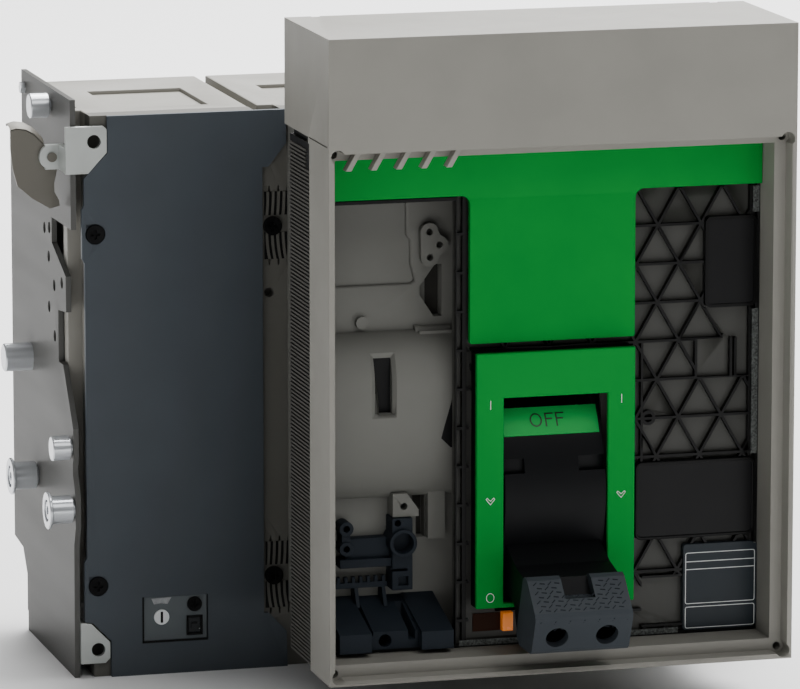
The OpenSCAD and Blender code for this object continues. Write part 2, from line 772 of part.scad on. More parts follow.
module toggle_link() color(steel) difference() {
    union() {
        side_sheet(link_x0, link_t) polygon([[yoke_pin_y, yoke_pin_z - 5], [crank_pin_y, crank_pin_z - 5],
            [crank_pin_y, crank_pin_z + 5], [yoke_pin_y, yoke_pin_z + 5]]);
        x_rod(yoke_pin_y, yoke_pin_z, link_x0, link_x0 + link_t, 6.5);
        x_rod(crank_pin_y, crank_pin_z, link_x0, link_x0 + link_t, 6.5);
    }
    x_rod(yoke_pin_y, yoke_pin_z, link_x0 - e, link_x0 + link_t + e, yoke_pin_r + link_play);
    x_rod(crank_pin_y, crank_pin_z, link_x0 - e, link_x0 + link_t + e, crank_pin_r + fit);
}

module trip_unit() color(black) {
    x0 = toggle_x + 42;
    x1 = housing_x1 - housing_wall - seat_gap;
    block([x0, housing_y + housing_wall + seat_gap, 70], [x1, -40, 200]);
    block([x0 + 8, -40 - e, 90], [x1 - 8, -30, 180]);
    block([x0, -30 - e, 84], [x1, -run_gap, 96]);
}

module terminal_block() color(cover_blue) difference() {
    y0 = housing_y - 11;
    union() {
        block([-37.8, y0, 57], [-28.6, housing_y, 89.1]);
        block([-58, y0 + 5, 71.2], [-37, housing_y, 80.1]);
        block([-61, y0 + 2, 67.6], [-37, housing_y, 71.4]);
        for (z = eye_rows) y_rod(-58, z, y0 + 2, housing_y, 3.2);
        block([-60, y0 + 3, 76], [-56, housing_y, 86]);
        y_rod(eye_x, eye_z, y0 - 2, housing_y, 6.2);
    }
    y_rod(eye_x, eye_z, y0 - 3, y0 + 5, 4.6);
    for (z = eye_rows) y_rod(-58, z, y0, y0 + 8, 1.5);
    y_rod(-35.3, 87, y0 - 1, y0 + 6, 1.5);
    block([-35, y0 - 1, 59], [-30.5, y0 + 3, 63]);
    block([-37.8 - e, y0 - 1, 65.5], [-31, y0 + 3, 66.6]);
}

eye_rows = [85.2, 76.2];
eye_x = -33.2;
eye_z = 78.2;

// Shelf with guide ribs and a comb that the control wires lie on
module wiring_tray() color(cover_blue) {
    back = housing_y - seat_gap;
    front = cover_y - tray_reach;
    difference() {
        side_sheet(housing_x0 - 11, window_x1 - housing_x0 + 10) polygon([[back, open_z0 + 1.9], [back, 53],
            [front + 6, 43], [front + 6, open_z0 + 1.9]]);
        y_rod(-46, 39, front, front + 18, 2.9);
        block([-54.6, front, 41.5], [-51.4, back - 4, 60]);
        block([-35.6, front, 39], [-32.4, back - 6, 60]);
    }
    side_sheet(-31, 14.4) polygon([[back, 51], [back, 53.4], [front, 43.4], [front, 35.4], [front + 7, 35.4], [front + 7, 42.6]]);
    side_sheet(housing_x0 - 11, 14.4) polygon([[back, 51], [back, 53.4], [front, 43.8], [front, 35.4],
        [front + 7, 35.4], [front + 7, 43]]);
    comb(back);
}

tray_reach = 8;

// Toothed bar on three brackets at the back of the shelf
module comb(back) {
    block([-66, back - 6, 58], [-39, back - 3.6, 60.4]);
    for (k = [0 : 7]) block([-65 + 3.4 * k, back - 6, 60], [-63.6 + 3.4 * k, back - 3.6, 63]);
    for (x = [-65.4, -53, -40.6]) side_sheet(x - 0.8, 1.6) polygon([[back, 50], [back, 58], [back - 3, 60.4], [back - 6, 60.4],
        [back - 6, 58], [back - 10, 50]]);
}

// Front cover with its ribs

module cover_region() {
    difference() {
        square_between(open_x0 + seat_gap, open_z0 + seat_gap, open_x1 - seat_gap, open_z1 - seat_gap);
        square_between(open_x0 + 1.5, open_z0 + 1.5, window_x1, open_z1 - top_band);
        square_between(toggle_x - esc_open_w / 2 - 0.4, 48, toggle_x + esc_open_w / 2 + 0.4, 152);
    }
}

module square_between(x0, z0, x1, z1) {
    translate([x0, z0]) square([x1 - x0, z1 - z0]);
}

module front_cover() color(smoke) {
    front_sheet(cover_y + rib_h, panel_t) cover_region();
    front_sheet(cover_y, rib_h + e) {
        intersection() {
            rib_region();
            rib_lines();
        }
        intersection() {
            strip_region();
            rib_family(0);
        }
        straight_ribs();
        cover_rims();
    }
    for (x = [toggle_x + 52, open_x1 - 10], z = [open_z0 + 12, open_z1 - top_band - 4]) {
        y_rod(x, z, cover_y + rib_h + e, housing_y - run_gap, 3.5);
    }
}

// Frame behind the cover that carries the side grilles
module grille_frame() color(black) cover_skirt();

// Narrow strip left of the toggle, with cross ribs alone
module strip_region() {
    square_between(window_x1, open_z0 + 1, toggle_x - esc_w / 2 - 1, open_z1 - top_band);
}

// Triangles stand right of the toggle and above its escutcheon, round the plain panels
module rib_region() {
    difference() {
        union() {
            square_between(toggle_x + esc_w / 2 + 1, open_z0 + 1, open_x1 - 1, open_z1 - top_band);
            square_between(toggle_x - esc_w / 2, esc_open_z1 + 1, open_x1 - 1, esc_z1 + 6);
        }
        square_between(upper_win[0], upper_win[1], upper_win[2], upper_win[3]);
        square_between(lower_win[0], lower_win[1], lower_win[2], lower_win[3]);
        square_between(plate_box[0], plate_box[1], plate_box[2], plate_box[3]);
        for (p = plain_panels) square_between(p[0], p[1], p[2], p[3]);
    }
}

plain_panels = [
    [toggle_x + 66.7, 148.4, open_x1 - 4.8, 165.4],
    [toggle_x + 79, 165.4, open_x1 - 4.8, 179],
    [toggle_x + 42.4, 38.4, toggle_x + 61.4, 60]
];

// Straight ribs round the plain panels, along the border and round a small ring
module straight_ribs() {
    for (x = [toggle_x + 66.7, toggle_x + 82.8, toggle_x + 84.9]) square_between(x - rib_t / 2, 148.4, x + rib_t / 2, 165.4);
    square_between(toggle_x + 41.4, 112, toggle_x + 42.4, 165.4);
    square_between(toggle_x + 42.4, 59.4, toggle_x + 61.4, 60.4);
    square_between(toggle_x + 42.4, open_z0 + 4, toggle_x + 61.4, open_z0 + 5);
    translate([toggle_x + 44.9, 131.4]) difference() {
        circle(3.3);
        circle(1.9);
    }
}

// Three families of parallel ribs, 60 degrees apart
module rib_lines() {
    for (a = [0, 60, 120]) rib_family(a);
    square_between(open_x1 - 4.8, open_z0 + 1, open_x1 - 3.8, open_z1 - top_band);
}

module rib_family(a) {
    row = tri_side * sin(60);
    span = 2 * bezel_h;
    for (k = [-12 : 12]) translate([toggle_x + 48.8, 216.9]) rotate(a)
        translate([-span / 2, k * row - rib_t / 2]) square([span, rib_t]);
}

module cover_rims() {
    difference() {
        square_between(open_x0 + seat_gap, open_z0 + seat_gap, open_x1 - seat_gap, open_z1 - seat_gap);
        square_between(open_x0 + 1.5, open_z0 + 1.5, open_x1 - 1.5, open_z1 - top_band + 2);
    }
    square_between(window_x1, open_z0 + 1, window_x1 + 1.2, open_z1 - top_band + 2);
    square_between(window_x1 + 3.7, open_z0 + 1, window_x1 + 5.6, open_z1 - top_band + 2);
}

// Skirt that carries the side grilles and meets the bezel flange
module cover_skirt() {
    difference() {
        block([skirt_x0, skirt_y0, skirt_z0], [skirt_x1, skirt_y1, skirt_z1]);
        block([skirt_x0 + skirt_t, skirt_y0 + skirt_t, skirt_z0 + skirt_t], [skirt_x1 - skirt_t, skirt_y1 + e, skirt_z1 - skirt_t]);
        block([open_x0 + 1.5, skirt_y0 - e, open_z0 + 1.5], [open_x1 - 1.5, skirt_y0 + skirt_t + e, open_z1 - 1.5]);
        for (p = wells()) y_rod(p[0], p[1], skirt_y0 - e, skirt_y0 + 8, 1.4);
    }
    for (z = [[open_z0 + seat_gap, open_z0 + 1.6], [open_z1 - 5, open_z1 - seat_gap]]) {
        block([open_x0 + seat_gap, cover_y + rib_h + panel_t, z[0]], [open_x1 - seat_gap, skirt_y0 + skirt_t, z[1]]);
    }
}

function wells() = [[bezel_x0 + well_in, hood_z - 1.2], [bezel_x1 - well_in, hood_z - 1.2],
    [bezel_x0 + well_in, bezel_z0 + 3.8], [bezel_x1 - well_in, bezel_z0 + 3.8]];

upper_win = [toggle_x + 70, 179, open_x1 - 1.3, 220];
lower_win = [toggle_x + 38.5, 76.5, open_x1 - 1.3, 112];
plate_box = [toggle_x + 61, 34.6, open_x1 - 1.3, 74];

// Smooth window with a raised rim
module window(w, r) color(black) difference() {
    front_sheet(cover_y - 1, rib_h + 1 - 0.1) round_rect(w[0] + 0.3, w[1] + 0.3, w[2] - 0.3, w[3] - 0.3, r);
    front_sheet(cover_y - 1 - e, 0.6 + e) round_rect(w[0] + 1.7, w[1] + 1.7, w[2] - 1.7, w[3] - 1.7, r - 1);
}

module upper_window() { window(upper_win, 3); }
module lower_window() { window(lower_win, 3); }

module rating_plate() color(cover_blue) {
    front_sheet(cover_y - 0.6, rib_h + 0.5) round_rect(plate_box[0] + 0.3, plate_box[1] + 0.3, plate_box[2] - 0.3, plate_box[3] - 0.3, 1.5);
}

module amber_indicator() color(amber) {
    block([toggle_x - 24, cover_y - 0.5, 39.6], [toggle_x - 14, cover_y + rib_h - 0.1, 48]);
}

module side_grille(x0) {
    z0 = skirt_z0 + 1;
    z1 = hood_z - run_gap;
    count = floor((z1 - z0 - 3) / slat_pitch);
    difference() {
        block([x0, skirt_y0, z0], [x0 + skirt_t - 0.1, skirt_y1, z1]);
        for (k = [0 : count - 1]) {
            block([x0 - e, skirt_y0 + 1.5, z0 + 1.5 + k * slat_pitch],
                  [x0 + skirt_t - 1, skirt_y1 - 1, z0 + 1.5 + k * slat_pitch + slat_gap]);
        }
    }
}

module grille_left() { color(black) side_grille(bezel_x0); }
module grille_right() { color(black) mirror([1, 0, 0]) side_grille(-bezel_x1); }

// Green face plate and escutcheon

module face_plate() color(green) front_sheet(face_y, 3 - 0.02) {
    r = 4;
    bx0 = toggle_x - 37.4;
    bx1 = toggle_x + 37.4;
    z_band = 234;
    square_between(open_x0 + 0.3, z_band, open_x1 - 0.3, open_z1 - 0.3);
    round_rect(bx0, 168.8, bx1, z_band + 6, 1);
    for (s = [-1, 1]) translate([s < 0 ? bx0 : bx1, z_band]) difference() {
        translate([s < 0 ? -r : 0, -r]) square(r);
        translate([s * r, -r]) circle(r);
    }
}

module toggle_escutcheon() color(green) difference() {
    block([toggle_x - esc_w / 2, esc_y, esc_z0], [toggle_x + esc_w / 2, cover_y - 0.02, esc_z1]);
    block([toggle_x - esc_w / 2 + 2, esc_y + esc_t, esc_z0 + 1.6], [toggle_x + esc_w / 2 - 2, cover_y + e, esc_z1 - 2]);
    block([toggle_x - esc_open_w / 2, esc_y - e, esc_open_z0], [toggle_x + esc_open_w / 2, esc_y + esc_t + e, esc_open_z1]);
}

// Toggle

// Sector of a ring round the hinge, between two angles above the front direction
module drum_sector(r_in, r_out, a0, a1, w) {
    translate([toggle_x - w / 2, hinge_y, hinge_z]) rotate([90, 0, 90]) linear_extrude(w) intersection() {
        difference() {
            circle(r = r_out, $fn = 96);
            circle(r = r_in, $fn = 96);
        }
        polygon([[0, 0], for (k = [0 : 4]) 1.5 * r_out * [-cos(a0 + k * (a1 - a0) / 4), sin(a0 + k * (a1 - a0) / 4)]]);
    }
}

band_a0 = 25.9;
band_a1 = 38.4;

module toggle_drum() color(black) difference() {
    union() {
        drum_sector(drum_r - drum_wall, drum_r, -88, band_a1, drum_w);
        toggle_arm();
    }
    drum_sector(drum_r - 1.5, drum_r + e, band_a0, band_a1 + 3, drum_w - 2);
    block([toggle_x - drum_w / 2 - e, hinge_y - drum_r - 2, 111.3], [toggle_x - 13.8, hinge_y - drum_r + 4.4, 117.6]);
    block([toggle_x + 11, hinge_y - drum_r - 2, 111.3], [toggle_x + drum_w / 2 + e, hinge_y - drum_r + 4.4, 117.6]);
    grip_holes();
}

// Arm from the drum to the grip, drawn at the OFF position
module toggle_arm() {
    side_sheet(toggle_x - 21.5, 43) polygon([[hinge_y - 58.5, 84], [-127.5, 80.5], [-144.5, 73], [-158.2, 70],
        [-172, 52], [-168, 43], [-152, 41.8], [-146.5, 46.5], [-142.5, 55.6], [-131.5, 57.6], [-119.5, 61.5]]);
}

module position_band() color(green) {
    drum_sector(drum_r - 1.4, drum_r + 0.05, band_a0 + 0.15, band_a1, drum_w - 2.4);
}

// Direction of the grip's front face, which leans back towards its lower edge
grip_lean = 21.8;

module grip_holes() {
    for (s = [-1, 1]) translate([toggle_x + s * grip_hole_pitch / 2, -174.2, 47]) rotate([90 + grip_lean, 0, 0])
        translate([0, 0, -22]) cylinder(r = grip_hole_r, h = 40);
}

module toggle_grip() color(grip_blue) difference() {
    side_sheet(toggle_x - grip_w / 2, grip_w) polygon([[-158.4, 70.7], [-161.5, 71.6], [-164.5, 70.4], [-176.3, 58.4],
        [-177.4, 56.6], [-177.2, 54.6], [-171.6, 40.9], [-169.6, 39.4], [-153.2, 39.4], [-150.9, 40.6],
        [-147.9, 43.6], [-151, 52], [-156.5, 66]]);
    side_sheet(toggle_x - 21.6, 43.2) polygon([[-127.5, 80.5], [-144.5, 73.1], [-158.2, 70.1], [-172.1, 52],
        [-168.1, 42.9], [-152, 41.7], [-146.4, 46.5], [-142.4, 55.6]]);
    block([toggle_x - 6.8, -171.5, 63], [toggle_x + 6.8, -150, 80]);
    grip_holes();
}

// Bezel

module bezel() color(case_grey) {
    bezel_shell();
    bezel_ribs();
}

module bezel_shell() difference() {
    union() {
        block([bezel_x0, -bezel_y, bezel_z0], [bezel_x1, bezel_back, hood_z + 4]);
        block([bezel_x0, -bezel_y, hood_z], [bezel_x1, -bezel_y + hood_d, bezel_top]);
    }
    block([bezel_x0 + rim_w, -bezel_y - e, bezel_z0 + rim_w], [bezel_x1 - rim_w, -bezel_y + rim_d, hood_z]);
    block([open_x0, -bezel_y + rim_d - e, open_z0], [open_x1, bezel_back + e, open_z1]);
    block([bezel_x0 + hood_wall, -bezel_y + hood_wall, hood_z + 5.5],
          [bezel_x1 - hood_wall, -bezel_y + hood_d + e, bezel_top - hood_wall]);
    block([bezel_x0 + rim_w, bezel_back, hood_z - e], [bezel_x1 - rim_w, -bezel_y + hood_d + e, hood_z + 2.3]);
    block([bezel_x0 + hood_wall, bezel_back + 2, hood_z], [bezel_x1 - hood_wall, -bezel_y + hood_d + e, hood_z + 6]);
    for (p = wells()) {
        y_rod(p[0], p[1], -bezel_y - e, -bezel_y + rim_d, well_r);
        y_rod(p[0], p[1], -bezel_y, bezel_back + e, well_hole_r);
    }
    for (x = [bezel_x0 - e, bezel_x1 - 0.6]) {
        block([x, -bezel_y + 3, hood_z + 2.6], [x + 0.6 + e, bezel_back + e, hood_z + 3.3]);
        block([x - hood_wall, bezel_back + 2, hood_z - e], [x + hood_wall + 2 * e, -bezel_y + hood_d + e, hood_z + 2.8]);
    }
    for (x = [bezel_x0 + 14, bezel_x1 - 14]) {
        block([x - 2, -bezel_y + hood_d - 2, bezel_top - hood_wall - e], [x + 2, -bezel_y + hood_d + e, bezel_top + e]);
    }
}

// Slanted ribs on the ledge under the hood
module bezel_ribs() {
    for (k = [0 : 4]) front_sheet(-bezel_y + rim_d - 5, 5 + e) translate([bezel_x0 + 11 + k * 11.15, 0])
        polygon([[2.2, hood_z + 0.5], [-2.6, hood_z - 7.9], [-0.1, hood_z - 7.9], [4.7, hood_z + 0.5]]);
}

module bezel_screws() color(steel) for (p = wells()) {
    y_rod(p[0], p[1], bezel_back - 4, bezel_back - 1.5, well_hole_r - 0.1);
    y_rod(p[0], p[1], bezel_back - 2, skirt_y0 + skirt_t + 3, 1.3);
}

// Side plates and what they carry

// Outline of the left plate, from its top front corner downwards
module side_plate_outline() {
    polygon([[0, plate_h], [0, 205], [40.5, 204.5], [40.5, 193], [11.7, 182], [11.7, 165.7], [28, 164], [28, 140.5],
        [18.8, 140.5], [-1, 114.7], [-1, 101], [0.5, 98.5], [0.5, 93.7], [-4.5, 84.5], [-4.5, 70], [-0.8, 61.2],
        [0, 0], [100, 0], [100, 9], [101.4, 9.3], [101.4, 26.6], [110.3, 37.4], [plate_d, 39.3], [plate_d, 225],
        [103, 238], [103, plate_h]]);
}

plate_holes = [[55.8, 197.4], [45.5, 199], [47.2, 185.5], [36, 174], [20.1, 177.8], [47.2, 162.4], [35.8, 150.8]];

top_stud = [40.7, 255.6];
guide_stud = [88, 132];
small_stud = [3.6, 105.5];
rear_stud = [76.7, 78.5];
front_stud = [0, 78];
bolt_at = [96, 256];
bolt_r = 2.8;
bolt_shank = 1.6;
shank_r = 2.5;

module side_plate(s) color(steel) on_side(s) difference() {
    side_sheet(-plate_out, plate_t) side_plate_outline();
    for (p = plate_holes) x_rod(p[0], p[1], -plate_out - e, -plate_in + e, 2.6);
    for (p = [top_stud, guide_stud, small_stud, rear_stud, front_stud]) {
        x_rod(p[0], p[1], -plate_out - e, -plate_in + e, shank_r + 0.05);
    }
    x_rod(bolt_at[0], bolt_at[1], -plate_out - e, -plate_in + e, bolt_shank + 0.05);
}

module side_plate_left() { side_plate(-1); }
module side_plate_right() { side_plate(1); }

// Front flange, strap round the plate's edge and ear of the upper bracket, and the lower bracket
bracket_face = case_w / 2 - 7.2;
ear_y = 12.5;
ear_z = 236.3;
ear_r = 5.6;
ear_x = plate_out + ear_r;
strap_x = plate_out + bracket_t;
rivet_r = 1.8;

module corner_brackets(s) color(bright) on_side(s) {
    difference() {
        union() {
            front_sheet(-bracket_t, bracket_t) polygon([[-strap_x, 251.6], [-bracket_face - 1.5, 251.6], [-bracket_face, 250.1],
                [-bracket_face, 239.6], [-bracket_face - 8.6, 230.4], [-strap_x, 230.4]]);
            block([-strap_x, -bracket_t, ear_z - ear_r], [-plate_out, ear_y + bracket_t, ear_z + ear_r]);
            block([-strap_x - 6, ear_y, ear_z - ear_r], [-strap_x + 0.5, ear_y + bracket_t, ear_z + ear_r]);
            y_rod(-ear_x, ear_z, ear_y, ear_y + bracket_t, ear_r);
        }
        y_rod(-bracket_face - 5.8, 244.7, -bracket_t - e, e, 3.1);
        y_rod(-ear_x, ear_z, ear_y - e, ear_y + bracket_t + e, rivet_r + fit);
    }
    difference() {
        union() {
            front_sheet(-bracket_t, bracket_t) polygon([[-plate_in, 25.6], [-bracket_face - 9, 25.2], [-bracket_face - 0.3, 16.2],
                [-bracket_face - 0.3, 9], [-bracket_face - 2.5, 6.7], [-plate_in, 6.7]]);
            block([-plate_in, -bracket_t, 6.7], [-plate_in + bracket_t, 16, 25.6]);
        }
        y_rod(-bracket_face - 5.8, 13, -bracket_t - e, e, 3.1);
    }
}

module corner_brackets_left() { corner_brackets(-1); }
module corner_brackets_right() { corner_brackets(1); }

// Curved lever behind the ear, with its own rivet
lever_y = ear_y + bracket_t + run_gap;

module lever(s) color(lever_grey) on_side(s) {
    front_sheet(lever_y, lever_t) polygon([for (p = lever_points) [p[0] - plate_out, p[1]]]);
    side_curl();
    y_rod(-ear_x, ear_z, ear_y - 0.8, lever_y + e, rivet_r);
    y_rod(-ear_x, ear_z, ear_y - 0.9, ear_y - run_gap, rivet_r + 0.4);
}

lever_points = [[-23.8, 248.6], [-13.2, 250.6], [-10.6, 244.8], [-3.6, 241], [-2.4, 226], [-1.2, 216],
    [-6.6, 212.7], [-20.5, 223.4], [-23, 238]];

// Rolled upper edge of the lever
module side_curl() {
    translate([-plate_out, 0, 0]) front_sheet(lever_y, 9)
        polygon([[-23.8, 248.6], [-13.2, 250.6], [-12.6, 249.3], [-22.3, 247.4], [-21.6, 238], [-23, 238]]);
}

module lever_left() { lever(-1); }
module lever_right() { lever(1); }

// Studs riveted into the side plate, and the hex bolt at its top rear
pin_r = 3;
top_roller_l = 8.7;
top_neck = 0.9;
small_roller_l = 8.3;
rear_wheel_l = 12.1;
front_wheel_l = 11.5;
wheel_sink = 2.4;
web_end = 2 * run_gap - wheel_sink;

module guide_studs(s) color(bright) on_side(s) {
    stud(top_stud, 2.6, top_neck, 1.8, top_roller_l - 0.8, 0);
    stud(guide_stud, guide_r, guide_l, guide_r, 0, 0);
    stud(small_stud, 3.6, 0.6, 2.4, small_roller_l - 1, 0);
    stud(rear_stud, 4, 0.6, pin_r, rear_wheel_l + web_end, 4.2);
    stud(front_stud, 4, 0.6, pin_r, front_wheel_l + web_end, 4.2);
    translate([-plate_out, bolt_at[0], bolt_at[1]]) rotate([0, -90, 0]) cylinder(r = bolt_r, h = 2.2, $fn = 6);
    x_rod(bolt_at[0], bolt_at[1], -plate_out - 0.1, -plate_in + 3, bolt_shank);
    translate([-plate_in, bolt_at[0], bolt_at[1]]) rotate([0, 90, 0]) cylinder(r = bolt_r, h = 2, $fn = 6);
}

// One stud: a shoulder against the plate, a pin for the wheel and a head outside
module stud(at, shoulder_r, shoulder, pin, reach, head_r) {
    x_rod(at[0], at[1], -plate_out - shoulder, -plate_out, shoulder_r);
    x_rod(at[0], at[1], -plate_out - shoulder - reach, -plate_out - shoulder + e, pin);
    x_rod(at[0], at[1], -plate_out - e, -plate_in + 1.5, shank_r);
    if (head_r > 0) difference() {
        x_rod(at[0], at[1], -plate_out - shoulder - reach - 1.6, -plate_out - shoulder - reach, head_r);
        translate([-plate_out - shoulder - reach - 2, at[0], at[1]]) rotate([0, 90, 0]) cylinder(r = 2, h = 1.4, $fn = 6);
    }
}

module guide_studs_left() { guide_studs(-1); }
module guide_studs_right() { guide_studs(1); }

module top_roller(s) color(bright) on_side(s) difference() {
    x0 = -plate_out - top_neck - run_gap - top_roller_l;
    x_rod(top_stud[0], top_stud[1], x0, x0 + top_roller_l, top_roller_r);
    x_rod(top_stud[0], top_stud[1], x0 + 0.8, x0 + top_roller_l + e, 1.8 + fit);
}

module top_roller_left() { top_roller(-1); }
module top_roller_right() { top_roller(1); }

module small_roller(s) color(bright) on_side(s) difference() {
    x1 = -plate_out - 0.6 - run_gap;
    x_rod(small_stud[0], small_stud[1], x1 - small_roller_l, x1, small_roller_r);
    x_rod(small_stud[0], small_stud[1], x1 - small_roller_l + 0.9, x1 + e, 2.4 + fit);
}

module small_roller_left() { small_roller(-1); }
module small_roller_right() { small_roller(1); }

// Flanged wheel whose inner face is at x1, with a recess for the axle head
module flanged_wheel(at, x1, l) {
    difference() {
        union() {
            x_rod(at[0], at[1], x1 - l, x1, wheel_r);
            x_rod(at[0], at[1], x1 - l, x1 - l + flange_t, flange_r);
        }
        x_rod(at[0], at[1], x1 - l - e, x1 + e, pin_r + fit);
        x_rod(at[0], at[1], x1 - l - e, x1 - l + wheel_sink, 4.9);
    }
}

module rear_wheel(s) color(bright) on_side(s) flanged_wheel(rear_stud, -plate_out - 0.6 - run_gap, rear_wheel_l);
module rear_wheel_left() { rear_wheel(-1); }
module rear_wheel_right() { rear_wheel(1); }

module front_wheel(s) color(bright) on_side(s) flanged_wheel(front_stud, -plate_out - 0.6 - run_gap, front_wheel_l);
module front_wheel_left() { front_wheel(-1); }
module front_wheel_right() { front_wheel(1); }

rear_case();
mid_case();
pole_cover();
cover_screws();
cover_insert();
lock_disc();
insert_screw();
test_button();
arc_chute_1();
arc_chute_2();
arc_chute_3();
arc_chute_4();
phase_barriers();
upper_terminals();
fixed_contacts();
lower_terminals();
flexible_braids();
current_transformers();
pole_shaft();
contact_fingers();
front_housing();
mechanism_frames();
handle_pin();
handle_yoke();
main_springs();
toggle_link();
trip_unit();
terminal_block();
wiring_tray();
front_cover();
grille_frame();
upper_window();
lower_window();
rating_plate();
amber_indicator();
grille_left();
grille_right();
face_plate();
toggle_escutcheon();
toggle_drum();
position_band();
toggle_grip();
bezel();
bezel_screws();
side_plate_left();
side_plate_right();
corner_brackets_left();
corner_brackets_right();
lever_left();
lever_right();
guide_studs_left();
guide_studs_right();
top_roller_left();
top_roller_right();
small_roller_left();
small_roller_right();
rear_wheel_left();
rear_wheel_right();
front_wheel_left();
front_wheel_right();
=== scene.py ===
"""Looks of the moving part of a drawout circuit breaker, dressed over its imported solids."""

import json
import logging
import math
from dataclasses import dataclass
from enum import Enum

import bmesh
import bpy
from mathutils import Matrix, Vector


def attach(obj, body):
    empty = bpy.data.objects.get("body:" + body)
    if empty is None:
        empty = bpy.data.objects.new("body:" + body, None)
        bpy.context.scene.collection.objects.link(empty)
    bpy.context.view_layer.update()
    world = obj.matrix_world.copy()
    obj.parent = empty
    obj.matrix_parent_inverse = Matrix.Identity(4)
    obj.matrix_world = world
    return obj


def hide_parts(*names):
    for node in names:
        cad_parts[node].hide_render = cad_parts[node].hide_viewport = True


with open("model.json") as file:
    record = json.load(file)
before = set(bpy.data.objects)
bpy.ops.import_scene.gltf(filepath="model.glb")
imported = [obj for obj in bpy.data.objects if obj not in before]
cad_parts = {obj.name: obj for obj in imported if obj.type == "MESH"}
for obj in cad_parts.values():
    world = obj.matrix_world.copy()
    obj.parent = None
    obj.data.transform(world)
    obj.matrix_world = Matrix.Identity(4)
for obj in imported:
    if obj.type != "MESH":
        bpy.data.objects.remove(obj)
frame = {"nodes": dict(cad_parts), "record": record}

LOG = logging.getLogger("breaker")
MM = 0.001
MOTTLE_SCALE = 38.0
ROUGHNESS_SCALE = 90.0
ROUGHNESS_SPAN = 0.05
GRAIN_HEIGHT = 0.2 * MM


class Axis(Enum):
    """Direction of a round bar in the frame."""

    X = (1.0, 0.0, 0.0)
    Y = (0.0, 1.0, 0.0)


class Grain(Enum):
    """Kind of fine surface that a finish shows, with the scale of its noise."""

    MOULDED = 1400.0
    BRUSHED = 900.0
    POLISHED = 300.0


def linear(value: float) -> float:
    """Turn one screen colour value from 0 to 255 into a linear one.

    Args:
        value: The screen value.

    Returns:
        The linear value from 0 to 1.
    """
    share = value / 255.0
    return share / 12.92 if share <= 0.04045 else ((share + 0.055) / 1.055) ** 2.4


